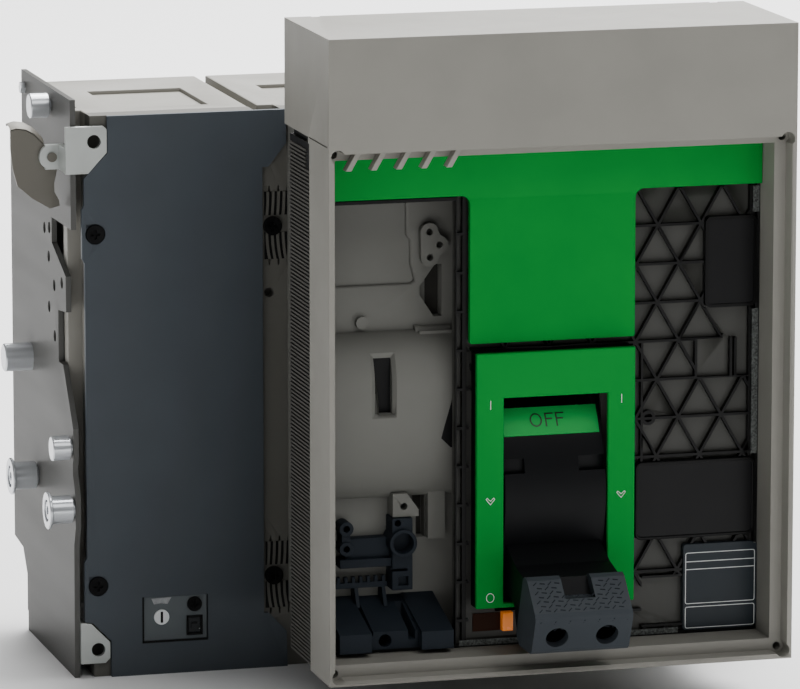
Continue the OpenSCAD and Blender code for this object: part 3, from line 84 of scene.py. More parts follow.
@dataclass(frozen=True)
class Finish:
    """Colour and surface of one material of the breaker.

    Attributes:
        name: Name of the finish.
        colour: Screen colour from 0 to 255.
        roughness: Middle roughness.
        metallic: Share of metal.
        specular: Strength of the reflection.
        grain: Kind of fine surface.
        mottle: How far the colour varies, as a share.
        bump: Strength of the grain.
        stretch: Scale of the texture in each direction.
        glow: Strength of its own light.
        second: Screen colour before the dividing plane.
        divide: Y of the dividing plane, in metres.
        fine: How much finer the mottle is than usual.
    """

    name: str
    colour: tuple[float, float, float]
    roughness: float = 0.5
    metallic: float = 0.0
    specular: float = 0.5
    grain: Grain = Grain.MOULDED
    mottle: float = 0.04
    bump: float = 0.05
    stretch: tuple[float, float, float] = (1.0, 1.0, 1.0)
    glow: float = 0.0
    second: tuple[float, float, float] | None = None
    divide: float = 0.0
    fine: float = 1.0

    def material(self) -> bpy.types.Material:
        """Make the material once and give it out again after that.

        Returns:
            The procedural material of this finish.
        """
        found = bpy.data.materials.get("finish_" + self.name)
        if found is not None:
            return found
        made = bpy.data.materials.new("finish_" + self.name)
        made.use_nodes = True
        tree = made.node_tree
        shader = tree.nodes["Principled BSDF"]
        shader.inputs["Metallic"].default_value = self.metallic
        shader.inputs["Specular IOR Level"].default_value = self.specular
        place = tree.nodes.new("ShaderNodeTexCoord")
        scaled = tree.nodes.new("ShaderNodeMapping")
        scaled.inputs["Scale"].default_value = self.stretch
        tree.links.new(place.outputs["Object"], scaled.inputs["Vector"])
        self._colour(tree, scaled, shader)
        self._roughness(tree, scaled, shader)
        self._bump(tree, scaled, shader)
        if self.glow > 0:
            shader.inputs["Emission Color"].default_value = (*self._shade(1.0), 1.0)
            shader.inputs["Emission Strength"].default_value = self.glow
        return made

    def _shade(self, share: float) -> tuple[float, float, float]:
        """Give the linear colour, lightened or darkened by a share."""
        return tuple(min(1.0, linear(c) * share) for c in self.colour)

    def _noise(
        self, tree: bpy.types.NodeTree, source: bpy.types.Node, scale: float, detail: float
    ) -> bpy.types.Node:
        """Add a noise texture that reads the stretched object coordinates.

        Args:
            tree: The node tree of the material.
            source: The node that gives the coordinates.
            scale: Scale of the noise.
            detail: Its detail.

        Returns:
            The noise node.
        """
        noise = tree.nodes.new("ShaderNodeTexNoise")
        noise.inputs["Scale"].default_value = scale
        noise.inputs["Detail"].default_value = detail
        tree.links.new(source.outputs["Vector"], noise.inputs["Vector"])
        return noise

    def _colour(
        self, tree: bpy.types.NodeTree, source: bpy.types.Node, shader: bpy.types.Node
    ) -> None:
        """Vary the colour a little over the piece, and change it in front of the dividing plane.

        Args:
            tree: The node tree of the material.
            source: The node that gives the coordinates.
            shader: The surface's shader.
        """
        noise = self._noise(tree, source, MOTTLE_SCALE * self.fine, 3.0)
        ramp = tree.nodes.new("ShaderNodeValToRGB")
        ramp.color_ramp.elements[0].position = 0.3
        ramp.color_ramp.elements[0].color = (*self._shade(1.0 - self.mottle), 1.0)
        ramp.color_ramp.elements[1].position = 0.7
        ramp.color_ramp.elements[1].color = (*self._shade(1.0 + self.mottle), 1.0)
        tree.links.new(noise.outputs["Fac"], ramp.inputs["Fac"])
        if self.second is None:
            tree.links.new(ramp.outputs["Color"], shader.inputs["Base Color"])
            return
        parts = tree.nodes.new("ShaderNodeSeparateXYZ")
        tree.links.new(source.outputs["Vector"], parts.inputs["Vector"])
        front = tree.nodes.new("ShaderNodeMath")
        front.operation = "LESS_THAN"
        front.inputs[1].default_value = self.divide
        tree.links.new(parts.outputs["Y"], front.inputs[0])
        mixed = tree.nodes.new("ShaderNodeMix")
        mixed.data_type = "RGBA"
        tree.links.new(front.outputs["Value"], mixed.inputs["Factor"])
        tree.links.new(ramp.outputs["Color"], mixed.inputs[6])
        mixed.inputs[7].default_value = (*(linear(c) for c in self.second), 1.0)
        tree.links.new(mixed.outputs[2], shader.inputs["Base Color"])

    def _roughness(
        self, tree: bpy.types.NodeTree, source: bpy.types.Node, shader: bpy.types.Node
    ) -> None:
        """Vary the roughness a little over the piece.

        Args:
            tree: The node tree of the material.
            source: The node that gives the coordinates.
            shader: The surface's shader.
        """
        noise = self._noise(tree, source, ROUGHNESS_SCALE, 2.0)
        span = tree.nodes.new("ShaderNodeMapRange")
        span.inputs["To Min"].default_value = max(0.02, self.roughness - ROUGHNESS_SPAN)
        span.inputs["To Max"].default_value = min(1.0, self.roughness + ROUGHNESS_SPAN)
        tree.links.new(noise.outputs["Fac"], span.inputs["Value"])
        tree.links.new(span.outputs["Result"], shader.inputs["Roughness"])

    def _bump(
        self, tree: bpy.types.NodeTree, source: bpy.types.Node, shader: bpy.types.Node
    ) -> None:
        """Add the fine grain of the surface.

        Args:
            tree: The node tree of the material.
            source: The node that gives the coordinates.
            shader: The surface's shader.
        """
        if self.bump <= 0:
            return
        noise = self._noise(tree, source, self.grain.value, 2.0)
        bump = tree.nodes.new("ShaderNodeBump")
        bump.inputs["Strength"].default_value = self.bump
        bump.inputs["Distance"].default_value = GRAIN_HEIGHT
        tree.links.new(noise.outputs["Fac"], bump.inputs["Height"])
        tree.links.new(bump.outputs["Normal"], shader.inputs["Normal"])


RESIN = Finish("case_resin", (136, 134, 127), roughness=0.5, specular=0.3)
# Darker copy of the case resin: painted shade for the mid case and its fins, which stand back in shade.
RESIN_SHADED = Finish("case_resin_painted_shade", (94, 93, 88), roughness=0.6, specular=0.2)
HOUSING = Finish("housing_resin", (114, 114, 109), roughness=0.6, specular=0.2)
DARK_PLATE = Finish("dark_plate", (70, 76, 82), roughness=0.5, specular=0.2)
DARK_INNER = Finish("dark_inner_plastic", (34, 40, 47), roughness=0.55, specular=0.12)
BLACK = Finish("black_plastic", (14, 14, 15), roughness=0.5, specular=0.15)
GRILLE = Finish("grille_plastic", (76, 75, 71), roughness=0.6, specular=0.1)
BLACK_STEEL = Finish("black_screw", (8, 8, 9), roughness=0.5, specular=0.12)
WHITE = Finish("white_plastic", (238, 241, 242), roughness=0.4)
INSERT = Finish("insert_plastic", (94, 100, 103), roughness=0.5, specular=0.2)
BUTTON = Finish("button_plastic", (44, 46, 48), roughness=0.45, specular=0.2)
LABEL_GREY = Finish("bare_label", (150, 152, 154), roughness=0.6, mottle=0.25, fine=12.0)
AMBER_GLOW = Finish("amber_glow", (46, 22, 8), roughness=0.5, specular=0.1)
POCKET = Finish("pocket_shade", (48, 47, 44), roughness=0.7, specular=0.1)
ESCUTCHEON = Finish(
    "escutcheon", (11, 11, 11), roughness=0.5, specular=0.04, second=(0, 134, 52), divide=-0.1317,
)
FIBRE = Finish("chute_fibre", (128, 56, 38), roughness=0.7)
COPPER = Finish("copper", (196, 126, 88), roughness=0.32, metallic=1.0, mottle=0.08)
SILVER = Finish("contact_alloy", (205, 203, 198), roughness=0.3, metallic=1.0)
SHEET = Finish(
    "sheet_steel", (92, 92, 90), roughness=0.35, metallic=0.0, specular=0.02,
    grain=Grain.BRUSHED, stretch=(1.0, 0.08, 1.0), bump=0.08,
)
BRIGHT = Finish(
    "bright_steel", (208, 211, 215), roughness=0.2, metallic=0.55, grain=Grain.POLISHED, bump=0.02,
)
GALVANISED = Finish("galvanised", (184, 188, 185), roughness=0.42, metallic=0.5, mottle=0.08)
LEVER = Finish("lever_sheet", (104, 101, 93), roughness=0.5, metallic=0.3)
SMOKED = Finish(
    "smoked_cover", (66, 66, 63), roughness=0.35, specular=0.15, second=(12, 12, 12), divide=-0.1221,
)
SPECKLE = Finish("speckled_edge", (74, 77, 75), roughness=0.5, specular=0.3, mottle=0.85, fine=30.0)
DARK_GLOSS = Finish(
    "dark_window", (17, 17, 18), roughness=0.3, specular=0.12, second=(8, 8, 8), divide=-0.1257,
)
DARK_LABEL = Finish("rating_face", (38, 44, 49), roughness=0.35, specular=0.15)
GREEN = Finish("green_plastic", (0, 132, 50), roughness=0.5, specular=0.04)
BAND = Finish("band_green", (28, 164, 74), roughness=0.4, specular=0.15)
DRUM = Finish("drum_black", (10, 11, 13), roughness=0.45, specular=0.12)
GRIP = Finish("grip_plastic", (52, 57, 62), roughness=0.55, specular=0.15)
GRIP_DARK = Finish("grip_strokes", (27, 31, 37), roughness=0.6, specular=0.1)
AMBER = Finish("amber_plastic", (225, 120, 6), roughness=0.25, glow=0.25)
RULES = Finish("white_rules", (205, 207, 206), roughness=0.4)
MARK = Finish("mark_white", (222, 226, 222), roughness=0.4)
DARK_MARK = Finish("mark_dark", (8, 26, 14), roughness=0.4)
FLOOR = Finish("studio_floor", (238, 238, 238), roughness=0.9, mottle=0.0, bump=0.0)


def cube(bm: bmesh.types.BMesh, low: tuple, high: tuple) -> None:
    """Add a block between two corners given in millimetres.

    Args:
        bm: The mesh that is added to.
        low: The lowest corner.
        high: The highest corner.
    """
    verts = bmesh.ops.create_cube(bm, size=1.0)["verts"]
    lo, hi = Vector(low) * MM, Vector(high) * MM
    bmesh.ops.scale(bm, vec=hi - lo, verts=verts)
    bmesh.ops.translate(bm, vec=(lo + hi) / 2, verts=verts)


def rod(
    bm: bmesh.types.BMesh, start: tuple, length: float, radius: float,
    axis: Axis = Axis.X, sides: int = 32,
) -> list:
    """Add a round bar along one axis.

    Args:
        bm: The mesh that is added to.
        start: Centre of its first end, in millimetres.
        length: Its length.
        radius: Its radius.
        axis: The axis that it runs along.
        sides: Number of sides.

    Returns:
        The new vertices.
    """
    verts = bmesh.ops.create_cone(
        bm, cap_ends=True, segments=sides, radius1=radius * MM, radius2=radius * MM, depth=length * MM
    )["verts"]
    turn = Vector((0, 0, 1)).rotation_difference(Vector(axis.value)).to_matrix()
    bmesh.ops.rotate(bm, cent=(0, 0, 0), matrix=turn, verts=verts)
    middle = (Vector(start) + Vector(axis.value) * length / 2) * MM
    bmesh.ops.translate(bm, vec=middle, verts=verts)
    return verts


def rounded(low: tuple, high: tuple, radius: float, steps: int = 5) -> list[tuple[float, float]]:
    """Give the outline of a rectangle with round corners.

    Args:
        low: Its lowest X and Z.
        high: Its highest X and Z.
        radius: Radius of its corners.
        steps: Number of points in each corner.

    Returns:
        The points in order.
    """
    centres = (
        (high[0] - radius, high[1] - radius), (low[0] + radius, high[1] - radius),
        (low[0] + radius, low[1] + radius), (high[0] - radius, low[1] + radius),
    )
    points = []
    for corner, (x, z) in enumerate(centres):
        for step in range(steps):
            turn = (corner + step / (steps - 1)) * math.pi / 2
            points.append((x + radius * math.cos(turn), z + radius * math.sin(turn)))
    return points


def plate(bm: bmesh.types.BMesh, outline: list, near: float, far: float) -> None:
    """Add a flat plate with an outline in X and Z.

    Args:
        bm: The mesh that is added to.
        outline: Points of the outline in order, in millimetres.
        near: Y of its first face.
        far: Y of its other face.
    """
    verts = [bm.verts.new((x * MM, near * MM, z * MM)) for x, z in outline]
    grown = bmesh.ops.extrude_face_region(bm, geom=[bm.faces.new(verts)])["geom"]
    moved = [g for g in grown if isinstance(g, bmesh.types.BMVert)]
    bmesh.ops.translate(bm, vec=(0.0, (far - near) * MM, 0.0), verts=moved)
    made = {f for v in verts + moved for f in v.link_faces}
    bmesh.ops.recalc_face_normals(bm, faces=list(made))


def line_round(bm: bmesh.types.BMesh, outline: list, front: float, pen: float) -> None:
    """Add a thin flat line that follows the inside of an outline and faces the front.

    Args:
        bm: The mesh that is added to.
        outline: Points of the outline in X and Z, in millimetres.
        front: Y of the line.
        pen: Width of the line.
    """
    face = bm.faces.new([bm.verts.new((x * MM, front * MM, z * MM)) for x, z in outline])
    face.normal_update()
    if face.normal.y > 0:
        face.normal_flip()
    bmesh.ops.inset_region(
        bm, faces=[face], thickness=pen * MM, use_even_offset=True, use_boundary=True
    )
    bmesh.ops.delete(bm, geom=[face], context="FACES_ONLY")


def turned(bm: bmesh.types.BMesh, start: tuple, profile: list, sides: int = 64) -> None:
    """Add a piece that is round about the X direction.

    Args:
        bm: The mesh that is added to.
        start: Point on its axis that the profile is measured from, in millimetres.
        profile: Closed outline as pairs of reach along X and radius.
        sides: Number of sides.
    """
    before = set(bm.verts)
    verts = [bm.verts.new((a * MM, r * MM, 0.0)) for a, r in profile]
    edges = [bm.edges.new(pair) for pair in zip(verts, verts[1:] + verts[:1])]
    bmesh.ops.spin(
        bm, geom=verts + edges, cent=(0, 0, 0), axis=(1, 0, 0), angle=2 * math.pi,
        steps=sides, use_merge=True, use_duplicate=False,
    )
    made = [v for v in bm.verts if v not in before]
    bmesh.ops.remove_doubles(bm, verts=made, dist=1e-6)
    made = [v for v in bm.verts if v not in before]
    bmesh.ops.recalc_face_normals(bm, faces=list({f for v in made for f in v.link_faces}))
    bmesh.ops.translate(bm, vec=Vector(start) * MM, verts=made)


def shifted(bm: bmesh.types.BMesh, old: float, new: float, near: float = 0.06) -> None:
    """Move what stands at one X to another X.

    Args:
        bm: The mesh.
        old: The X that is looked for, in millimetres.
        new: The X that it gets.
        near: How close to the old X a vertex has to be.
    """
    for vert in bm.verts:
        if abs(vert.co.x / MM - old) < near:
            vert.co.x += (new - old) * MM


def soften(bm: bmesh.types.BMesh, width: float, angle: float = 40.0, segments: int = 2) -> None:
    """Round the outward edges of a mesh.

    Args:
        bm: The mesh.
        width: Width of the rounding, in millimetres.
        angle: Edges that turn by more than this are rounded, in degrees.
        segments: Number of faces across the rounding.
    """
    limit = math.radians(angle)
    edges = [
        e for e in bm.edges
        if len(e.link_faces) == 2 and e.is_convex and e.calc_face_angle(0.0) > limit
        and e.calc_length() > width * MM * 0.6
    ]
    bmesh.ops.bevel(
        bm, geom=edges, offset=width * MM, offset_type="OFFSET", segments=segments,
        profile=0.5, material=-1, affect="EDGES", clamp_overlap=True,
    )


def finished(
    bm: bmesh.types.BMesh, name: str, finish: Finish, body: str,
    nodes: tuple[str, ...] = (), smooth: float = 20.0,
) -> bpy.types.Object:
    """Turn a mesh into a piece that rides on a body.

    Args:
        bm: The finished mesh, in the frame.
        name: Name of the piece.
        finish: Its finish.
        body: The body that it moves with.
        nodes: The nodes that it stands for.
        smooth: Edges that turn by less than this are shaded smooth, in degrees.

    Returns:
        The new object.
    """
    mesh = bpy.data.meshes.new(name)
    bm.to_mesh(mesh)
    bm.free()
    for face in mesh.polygons:
        face.use_smooth = True
    mesh.set_sharp_from_angle(angle=math.radians(smooth))
    piece = bpy.data.objects.new(name, mesh)
    bpy.context.scene.collection.objects.link(piece)
    mesh.materials.append(finish.material())
    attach(piece, body)
    if nodes:
        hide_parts(*nodes)
    LOG.info("%s: %d faces on %s", name, len(mesh.polygons), body)
    return piece


def copied(node: str) -> bmesh.types.BMesh:
    """Copy a solid's mesh and join its loose triangles into whole faces.

    Args:
        node: Name of the solid.

    Returns:
        The copy, in the frame.
    """
    bm = bmesh.new()
    bm.from_mesh(frame["nodes"][node].data)
    bmesh.ops.remove_doubles(bm, verts=bm.verts, dist=2e-6)
    bmesh.ops.dissolve_limit(
        bm, angle_limit=math.radians(0.4), use_dissolve_boundaries=False,
        verts=bm.verts, edges=bm.edges, delimit={"NORMAL"},
    )
    return bm


BODIES = {n: b for b, ns in frame["record"]["behaviour"]["bodies"].items() for n in ns}


def dressed(
    node: str, finish: Finish, width: float = 0.0, angle: float = 40.0, moves: tuple = ()
) -> bpy.types.Object:
    """Stand a rounded copy in for a solid.

    Args:
        node: Name of the solid.
        finish: The finish of the copy.
        width: Width of the rounding of its edges, in millimetres.
        angle: Edges that turn by more than this are rounded, in degrees.
        moves: Pairs of old and new X of the faces that stand a little aside in the photograph.

    Returns:
        The new object.
    """
    bm = copied(node)
    for old, new in moves:
        shifted(bm, old, new)
    if width > 0:
        soften(bm, width, angle)
    return finished(bm, node + "_skin", finish, BODIES[node], (node,))


@dataclass
class Case:
    """Moulded case with its poles and what is held in them.

    Attributes:
        edge: Rounding of the case.
        borders: X of the borders between the poles.
        screws: Z of the two rows of screws.
        fin_reach: Height above the screw of a group's foot and top, and how far its fins bow.
        fin_pitch: Distance between two fins.
        fin_wide: Width of one fin.
    """

    edge: float = 0.7
    borders: tuple = (-70.0, 0.0, 70.0)
    screws: tuple = (203.0, 42.3)
    fin_reach: tuple = ((4.8, 15.6, -0.5), (-15.2, -2.9, 1.3))
    fin_pitch: float = 2.5
    fin_wide: float = 1.25

    def build(self) -> None:
        """Dress the case, the chutes, the contacts and the terminals."""
        dressed("rear_case", RESIN, self.edge)
        # The mid case takes the darker resin copy, which is painted shade.
        dressed("mid_case", RESIN_SHADED, 0.35)
        dressed("phase_barriers", RESIN, 0.5)
        for number in range(1, 5):
            dressed(f"arc_chute_{number}", FIBRE, 0.0)
        for node in ("upper_terminals", "lower_terminals"):
            dressed(node, COPPER, 0.4)
        for node in ("flexible_braids", "contact_fingers"):
            dressed(node, COPPER, 0.2)
        dressed("fixed_contacts", SILVER, 0.2)
        dressed("current_transformers", BLACK, 0.6)
        dressed("pole_shaft", SHEET, 0.0)
        self._fins()

    def _fins(self) -> None:
        """Lay the narrow fins over the vents of the mid case, on a black sheet of painted shade for the
        dark gaps between them.
        """
        vent_shade, fins = bmesh.new(), bmesh.new()
        for border in self.borders:
            left, right = border + 2.4, border + 13.1
            for screw in self.screws:
                for reach_low, reach_high, lean in self.fin_reach:
                    low, high = screw + reach_low, screw + reach_high
                    outline = [(left, low), (right, low), (right, high), (left, high)]
                    # Black plate under each group: painted shade in the vent between the fins.
                    plate(vent_shade, outline, -0.08, 0.0)
                    for number in range(4):
                        self._fin(fins, left + 0.5 + self.fin_pitch * number, low, high, lean)
        # The black vent plates are painted shade, and the fins take the darker resin copy, also painted
        # shade.
        finished(vent_shade, "fin_vent_shades", BLACK, "base")
        finished(fins, "case_fins", RESIN_SHADED, "base")

    def _fin(self, bm: bmesh.types.BMesh, x: float, low: float, high: float, lean: float) -> None:
        """Add one fin that bows a little to the side on its way down.

        Args:
            bm: The mesh that is added to.
            x: Lowest X of its left edge.
            low: Z of its foot.
            high: Z of its top.
            lean: How far its foot stands to the side of its top.
        """
        steps = 5
        edge = []
        for step in range(steps + 1):
            share = step / steps
            edge.append((x + lean * share ** 2 - min(lean, 0.0), high + (low - high) * share))
        plate(bm, edge + [(a + self.fin_wide, b) for a, b in reversed(edge)], -0.45, -0.02)


@dataclass
class PoleCover:
    """Dark plate over the left pole with its insert and screws.

    Attributes:
        insert: Lowest and highest X and Z of the insert.
        button: X and Z of the middle of the button.
    """

    insert: tuple = ((-125.4, 15.2), (-95.4, 35.8))
    button: tuple[float, float] = (-101.4, 21.8)

    def build(self) -> None:
        """Dress the plate, the insert and the small pieces in it."""
        dressed("pole_cover", DARK_PLATE, 0.4)
        dressed("cover_screws", BLACK_STEEL, 0.3)
        dressed("cover_insert", INSERT, 0.2)
        dressed("lock_disc", WHITE, 0.25)
        dressed("insert_screw", BLACK_STEEL, 0.25)
        dressed("test_button", BUTTON, 0.2)
        self._insert_details()

    def _insert_details(self) -> None:
        """Add the painted shadow along the insert's edges, its bare label, the disc's slot and the
        button's frame and dot.
        """
        (left, foot), (right, top) = self.insert
        x, z = self.button
        bm = bmesh.new()
        # The first three blocks paint the shadow in the gap round the insert, wider at the left and the
        # foot; the others are the button's dark frame and bar.
        for low, high in (
            ((left - 0.3, -2.6, foot - 0.5), (left + 0.5, -2.3, top + 0.2)),
            ((left - 0.3, -2.6, foot - 0.6), (right + 0.2, -2.3, foot + 0.3)),
            ((right - 0.15, -2.56, foot), (right + 0.2, -2.3, top)),
            ((x - 3.7, -2.7, z - 4.6), (x - 2.9, -1.9, z + 4.4)),
            ((x + 2.9, -2.7, z - 4.6), (x + 3.7, -1.9, z + 4.4)),
            ((x - 3.7, -2.7, z + 3.5), (x + 3.7, -1.9, z + 4.4)),
            ((x - 3.7, -2.7, z - 4.6), (x + 3.7, -1.9, z - 3.7)),
            ((x - 1.6, -3.05, z + 0.7), (x + 1.0, -2.9, z + 1.3)),
        ):
            cube(bm, low, high)
        finished(bm, "insert_shadows_and_button_frame", BLACK, "base")
        bm = bmesh.new()
        label = [(-121.3, 34.9), (-112.0, 35.2), (-113.8, 32.1), (-117.0, 32.6), (-120.1, 32.2)]
        plate(bm, label, -1.78, -1.6)
        finished(bm, "disc_label", LABEL_GREY, "base")
        bm = bmesh.new()
        cube(bm, (-117.15, -2.42, 23.7), (-116.05, -2.2, 28.8))
        finished(bm, "disc_slot", BLACK, BODIES["lock_disc"])
        bm = bmesh.new()
        cube(bm, (x + 1.9, -3.06, z - 1.9), (x + 2.3, -2.7, z - 1.5))
        finished(bm, "button_dot", MARK, BODIES["test_button"])


@dataclass
class Sides:
    """Side plates with their brackets, levers, studs and wheels.

    Attributes:
        plate: X of the outer face of a side plate.
        root: Reach of a stud into its plate, from that face.
        root_radius: Radius of that root.
        gap: Play between a wheel and the neck of its axle.
        neck: Length of that neck.
        lever_front: Y of the lever's front.
        lever_thick: Thickness of its sheet.
        rivet: X and Z of its rivet.
    """

    plate: float = 156.5
    root: float = -2.2
    root_radius: float = 2.5
    gap: float = 0.3
    neck: float = 0.6
    lever_front: float = 15.3
    lever_thick: float = 1.6
    rivet: tuple[float, float] = (-162.1, 236.3)

    def build(self) -> None:
        """Dress both sides."""
        for side, way in (("left", -1), ("right", 1)):
            dressed(f"side_plate_{side}", SHEET, 0.3)
            dressed(f"corner_brackets_{side}", GALVANISED, 0.5)
            self._lever(side, way)
            self._studs(side, way)
            self._rollers(side, way)

    def _rollers(self, side: str, way: int) -> None:
        """Turn the two rollers and the two flanged wheels of one side.

        Args:
            side: The side, left or right, as in the names of its nodes.
            way: -1 on the left side and 1 on the right.
        """
        for name, at, start, length, radius, bore in (
            ("top_roller", (40.7, 255.6), 1.2, 8.7, 5.6, 1.9),
            ("small_roller", (3.6, 105.5), 0.9, 8.3, 5.6, 2.5),
        ):
            end = start + length
            profile = [(start, bore), (start, radius - 0.4), (start + 0.4, radius), (end - 0.5, radius)]
            profile += [(end, radius - 0.5), (end, 0.0), (end - 0.8, 0.0), (end - 0.8, bore)]
            self._wheel(f"{name}_{side}", way, at, profile)
        for name, at, length in (("rear_wheel", (76.7, 78.5), 12.1), ("front_wheel", (0.0, 78.0), 11.5)):
            start = self.neck + self.gap
            end = start + length
            profile = [(start, 3.1), (start, 6.0), (start + 0.4, 6.4), (end - 1.5, 6.4)]
            profile += [(end - 1.5, 8.1), (end - 1.1, 8.5), (end - 0.4, 8.5), (end, 8.1)]
            profile += [(end, 5.2), (end - 0.3, 4.9), (end - 2.4, 4.9), (end - 2.4, 3.1)]
            self._wheel(f"{name}_{side}", way, at, profile)

    def _wheel(self, node: str, way: int, at: tuple, profile: list) -> None:
        """Turn one roller or wheel and stand it in for its solid.

        Args:
            node: Name of the solid.
            way: -1 on the left side and 1 on the right.
            at: Y and Z of its axis.
            profile: Closed outline as pairs of reach from the plate and radius.
        """
        bm = bmesh.new()
        turned(bm, (way * self.plate, *at), [(way * reach, radius) for reach, radius in profile])
        finished(bm, node + "_skin", BRIGHT, BODIES[node], (node,), 35.0)

    def _studs(self, side: str, way: int) -> None:
        """Turn the studs of one side and add the bolt at its top rear.

        Args:
            side: The side, left or right, as in the names of its nodes.
            way: -1 on the left side and 1 on the right.
        """
        node = f"guide_studs_{side}"
        bm = bmesh.new()
        root = [(self.root, 0), (self.root, self.root_radius), (0, self.root_radius)]
        top = [(0, 2.6), (0.9, 2.6), (0.9, 1.8), (8.6, 1.8), (8.6, 0)]
        shaft = [(0, 6.5), (12.4, 6.5), (13, 5.9), (13, 0)]
        small = [(0, 3.6), (0.6, 3.6), (0.6, 2.4), (7.9, 2.4), (7.9, 0)]
        for at, profile in (
            ((40.7, 255.6), root + top),
            ((88.0, 132.0), root + shaft),
            ((3.6, 105.5), root + small),
            ((76.7, 78.5), root + self._axle(10.3)),
            ((0.0, 78.0), root + self._axle(9.7)),
            ((96.0, 256.0), [(-5.5, 0), (-5.5, 1.6), (0.1, 1.6), (0.1, 0)]),
        ):
            turned(bm, (way * self.plate, *at), [(way * reach, radius) for reach, radius in profile])
        for start, length in ((0.0, 2.2), (-4.5, 2.0)):
            verts = rod(bm, (0.0, 96.0, 256.0), length, 2.8, Axis.X, 6)
            move = way * (self.plate + start) - (length if way < 0 else 0.0)
            bmesh.ops.translate(bm, vec=(move * MM, 0, 0), verts=verts)
        finished(bm, node + "_skin", BRIGHT, BODIES[node], (node,), 35.0)

    def _axle(self, reach: float) -> list:
        """Give the profile of a wheel's axle with its head, outside the plate.

        Args:
            reach: Length of the axle between its neck and its head.

        Returns:
            Pairs of reach from the plate and radius.
        """
        end = self.neck + reach
        neck = [(0, 4.0), (self.neck, 4.0), (self.neck, 3.0)]
        head = [(end, 3.0), (end, 4.2), (end + 1.3, 4.2), (end + 1.6, 3.9)]
        return neck + head + [(end + 1.6, 2.0), (end + 0.5, 2.0), (end + 0.5, 0)]

    def _lever(self, side: str, way: int) -> None:
        """Make the curved lever of one side, with its rolled upper edge and its rivet.

        Args:
            side: The side, left or right, as in the names of its nodes.
            way: -1 on the left side and 1 on the right.
        """
        node = f"lever_{side}"
        bm = bmesh.new()
        ridge = [(-180.2, 248.2), (-177.5, 248.9), (-173.5, 248.3)]
        ridge += [(-169.8, 246.2), (-167.4, 243.6), (-165.6, 241.9)]
        foot = [(-162.2, 241.2), (-159.9, 236.2), (-159.1, 230.2), (-160.5, 224.0)]
        foot += [(-160.4, 220.0), (-158.4, 216.4), (-158.0, 213.7), (-162.5, 212.6)]
        foot += [(-170.5, 217.4), (-177.2, 223.2), (-179.3, 231.0), (-180.2, 240.0)]
        plate(bm, ridge + foot, self.lever_front, self.lever_front + self.lever_thick)
        middle = self.lever_front + self.lever_thick / 2
        bow = [bm.verts.new((x * MM, middle * MM, (z - 0.4) * MM)) for x, z in ridge]
        edges = [bm.edges.new(pair) for pair in zip(bow, bow[1:])]
        faces = []
        for step in ((2.2, 1.6), (3.2, 0.6), (3.0, -0.8)):
            grown = bmesh.ops.extrude_edge_only(bm, edges=edges)["geom"]
            moved = [g for g in grown if isinstance(g, bmesh.types.BMVert)]
            bmesh.ops.translate(bm, vec=(0.0, step[0] * MM, step[1] * MM), verts=moved)
            faces += [g for g in grown if isinstance(g, bmesh.types.BMFace)]
            edges = [
                g for g in grown
                if isinstance(g, bmesh.types.BMEdge) and all(v in moved for v in g.verts)
            ]
        bmesh.ops.recalc_face_normals(bm, faces=faces)
        bmesh.ops.solidify(bm, geom=faces, thickness=-1.1 * MM)
        rivet_x, rivet_z = self.rivet
        for y, length, radius in ((11.8, 3.6, 1.8), (11.6, 0.5, 2.2)):
            rod(bm, (rivet_x, y, rivet_z), length, radius, Axis.Y, 40)
        if way > 0:
            bmesh.ops.scale(bm, vec=(-1.0, 1.0, 1.0), verts=bm.verts)
            bmesh.ops.reverse_faces(bm, faces=bm.faces)
        finished(bm, node + "_skin", LEVER, BODIES[node], (node,), 35.0)


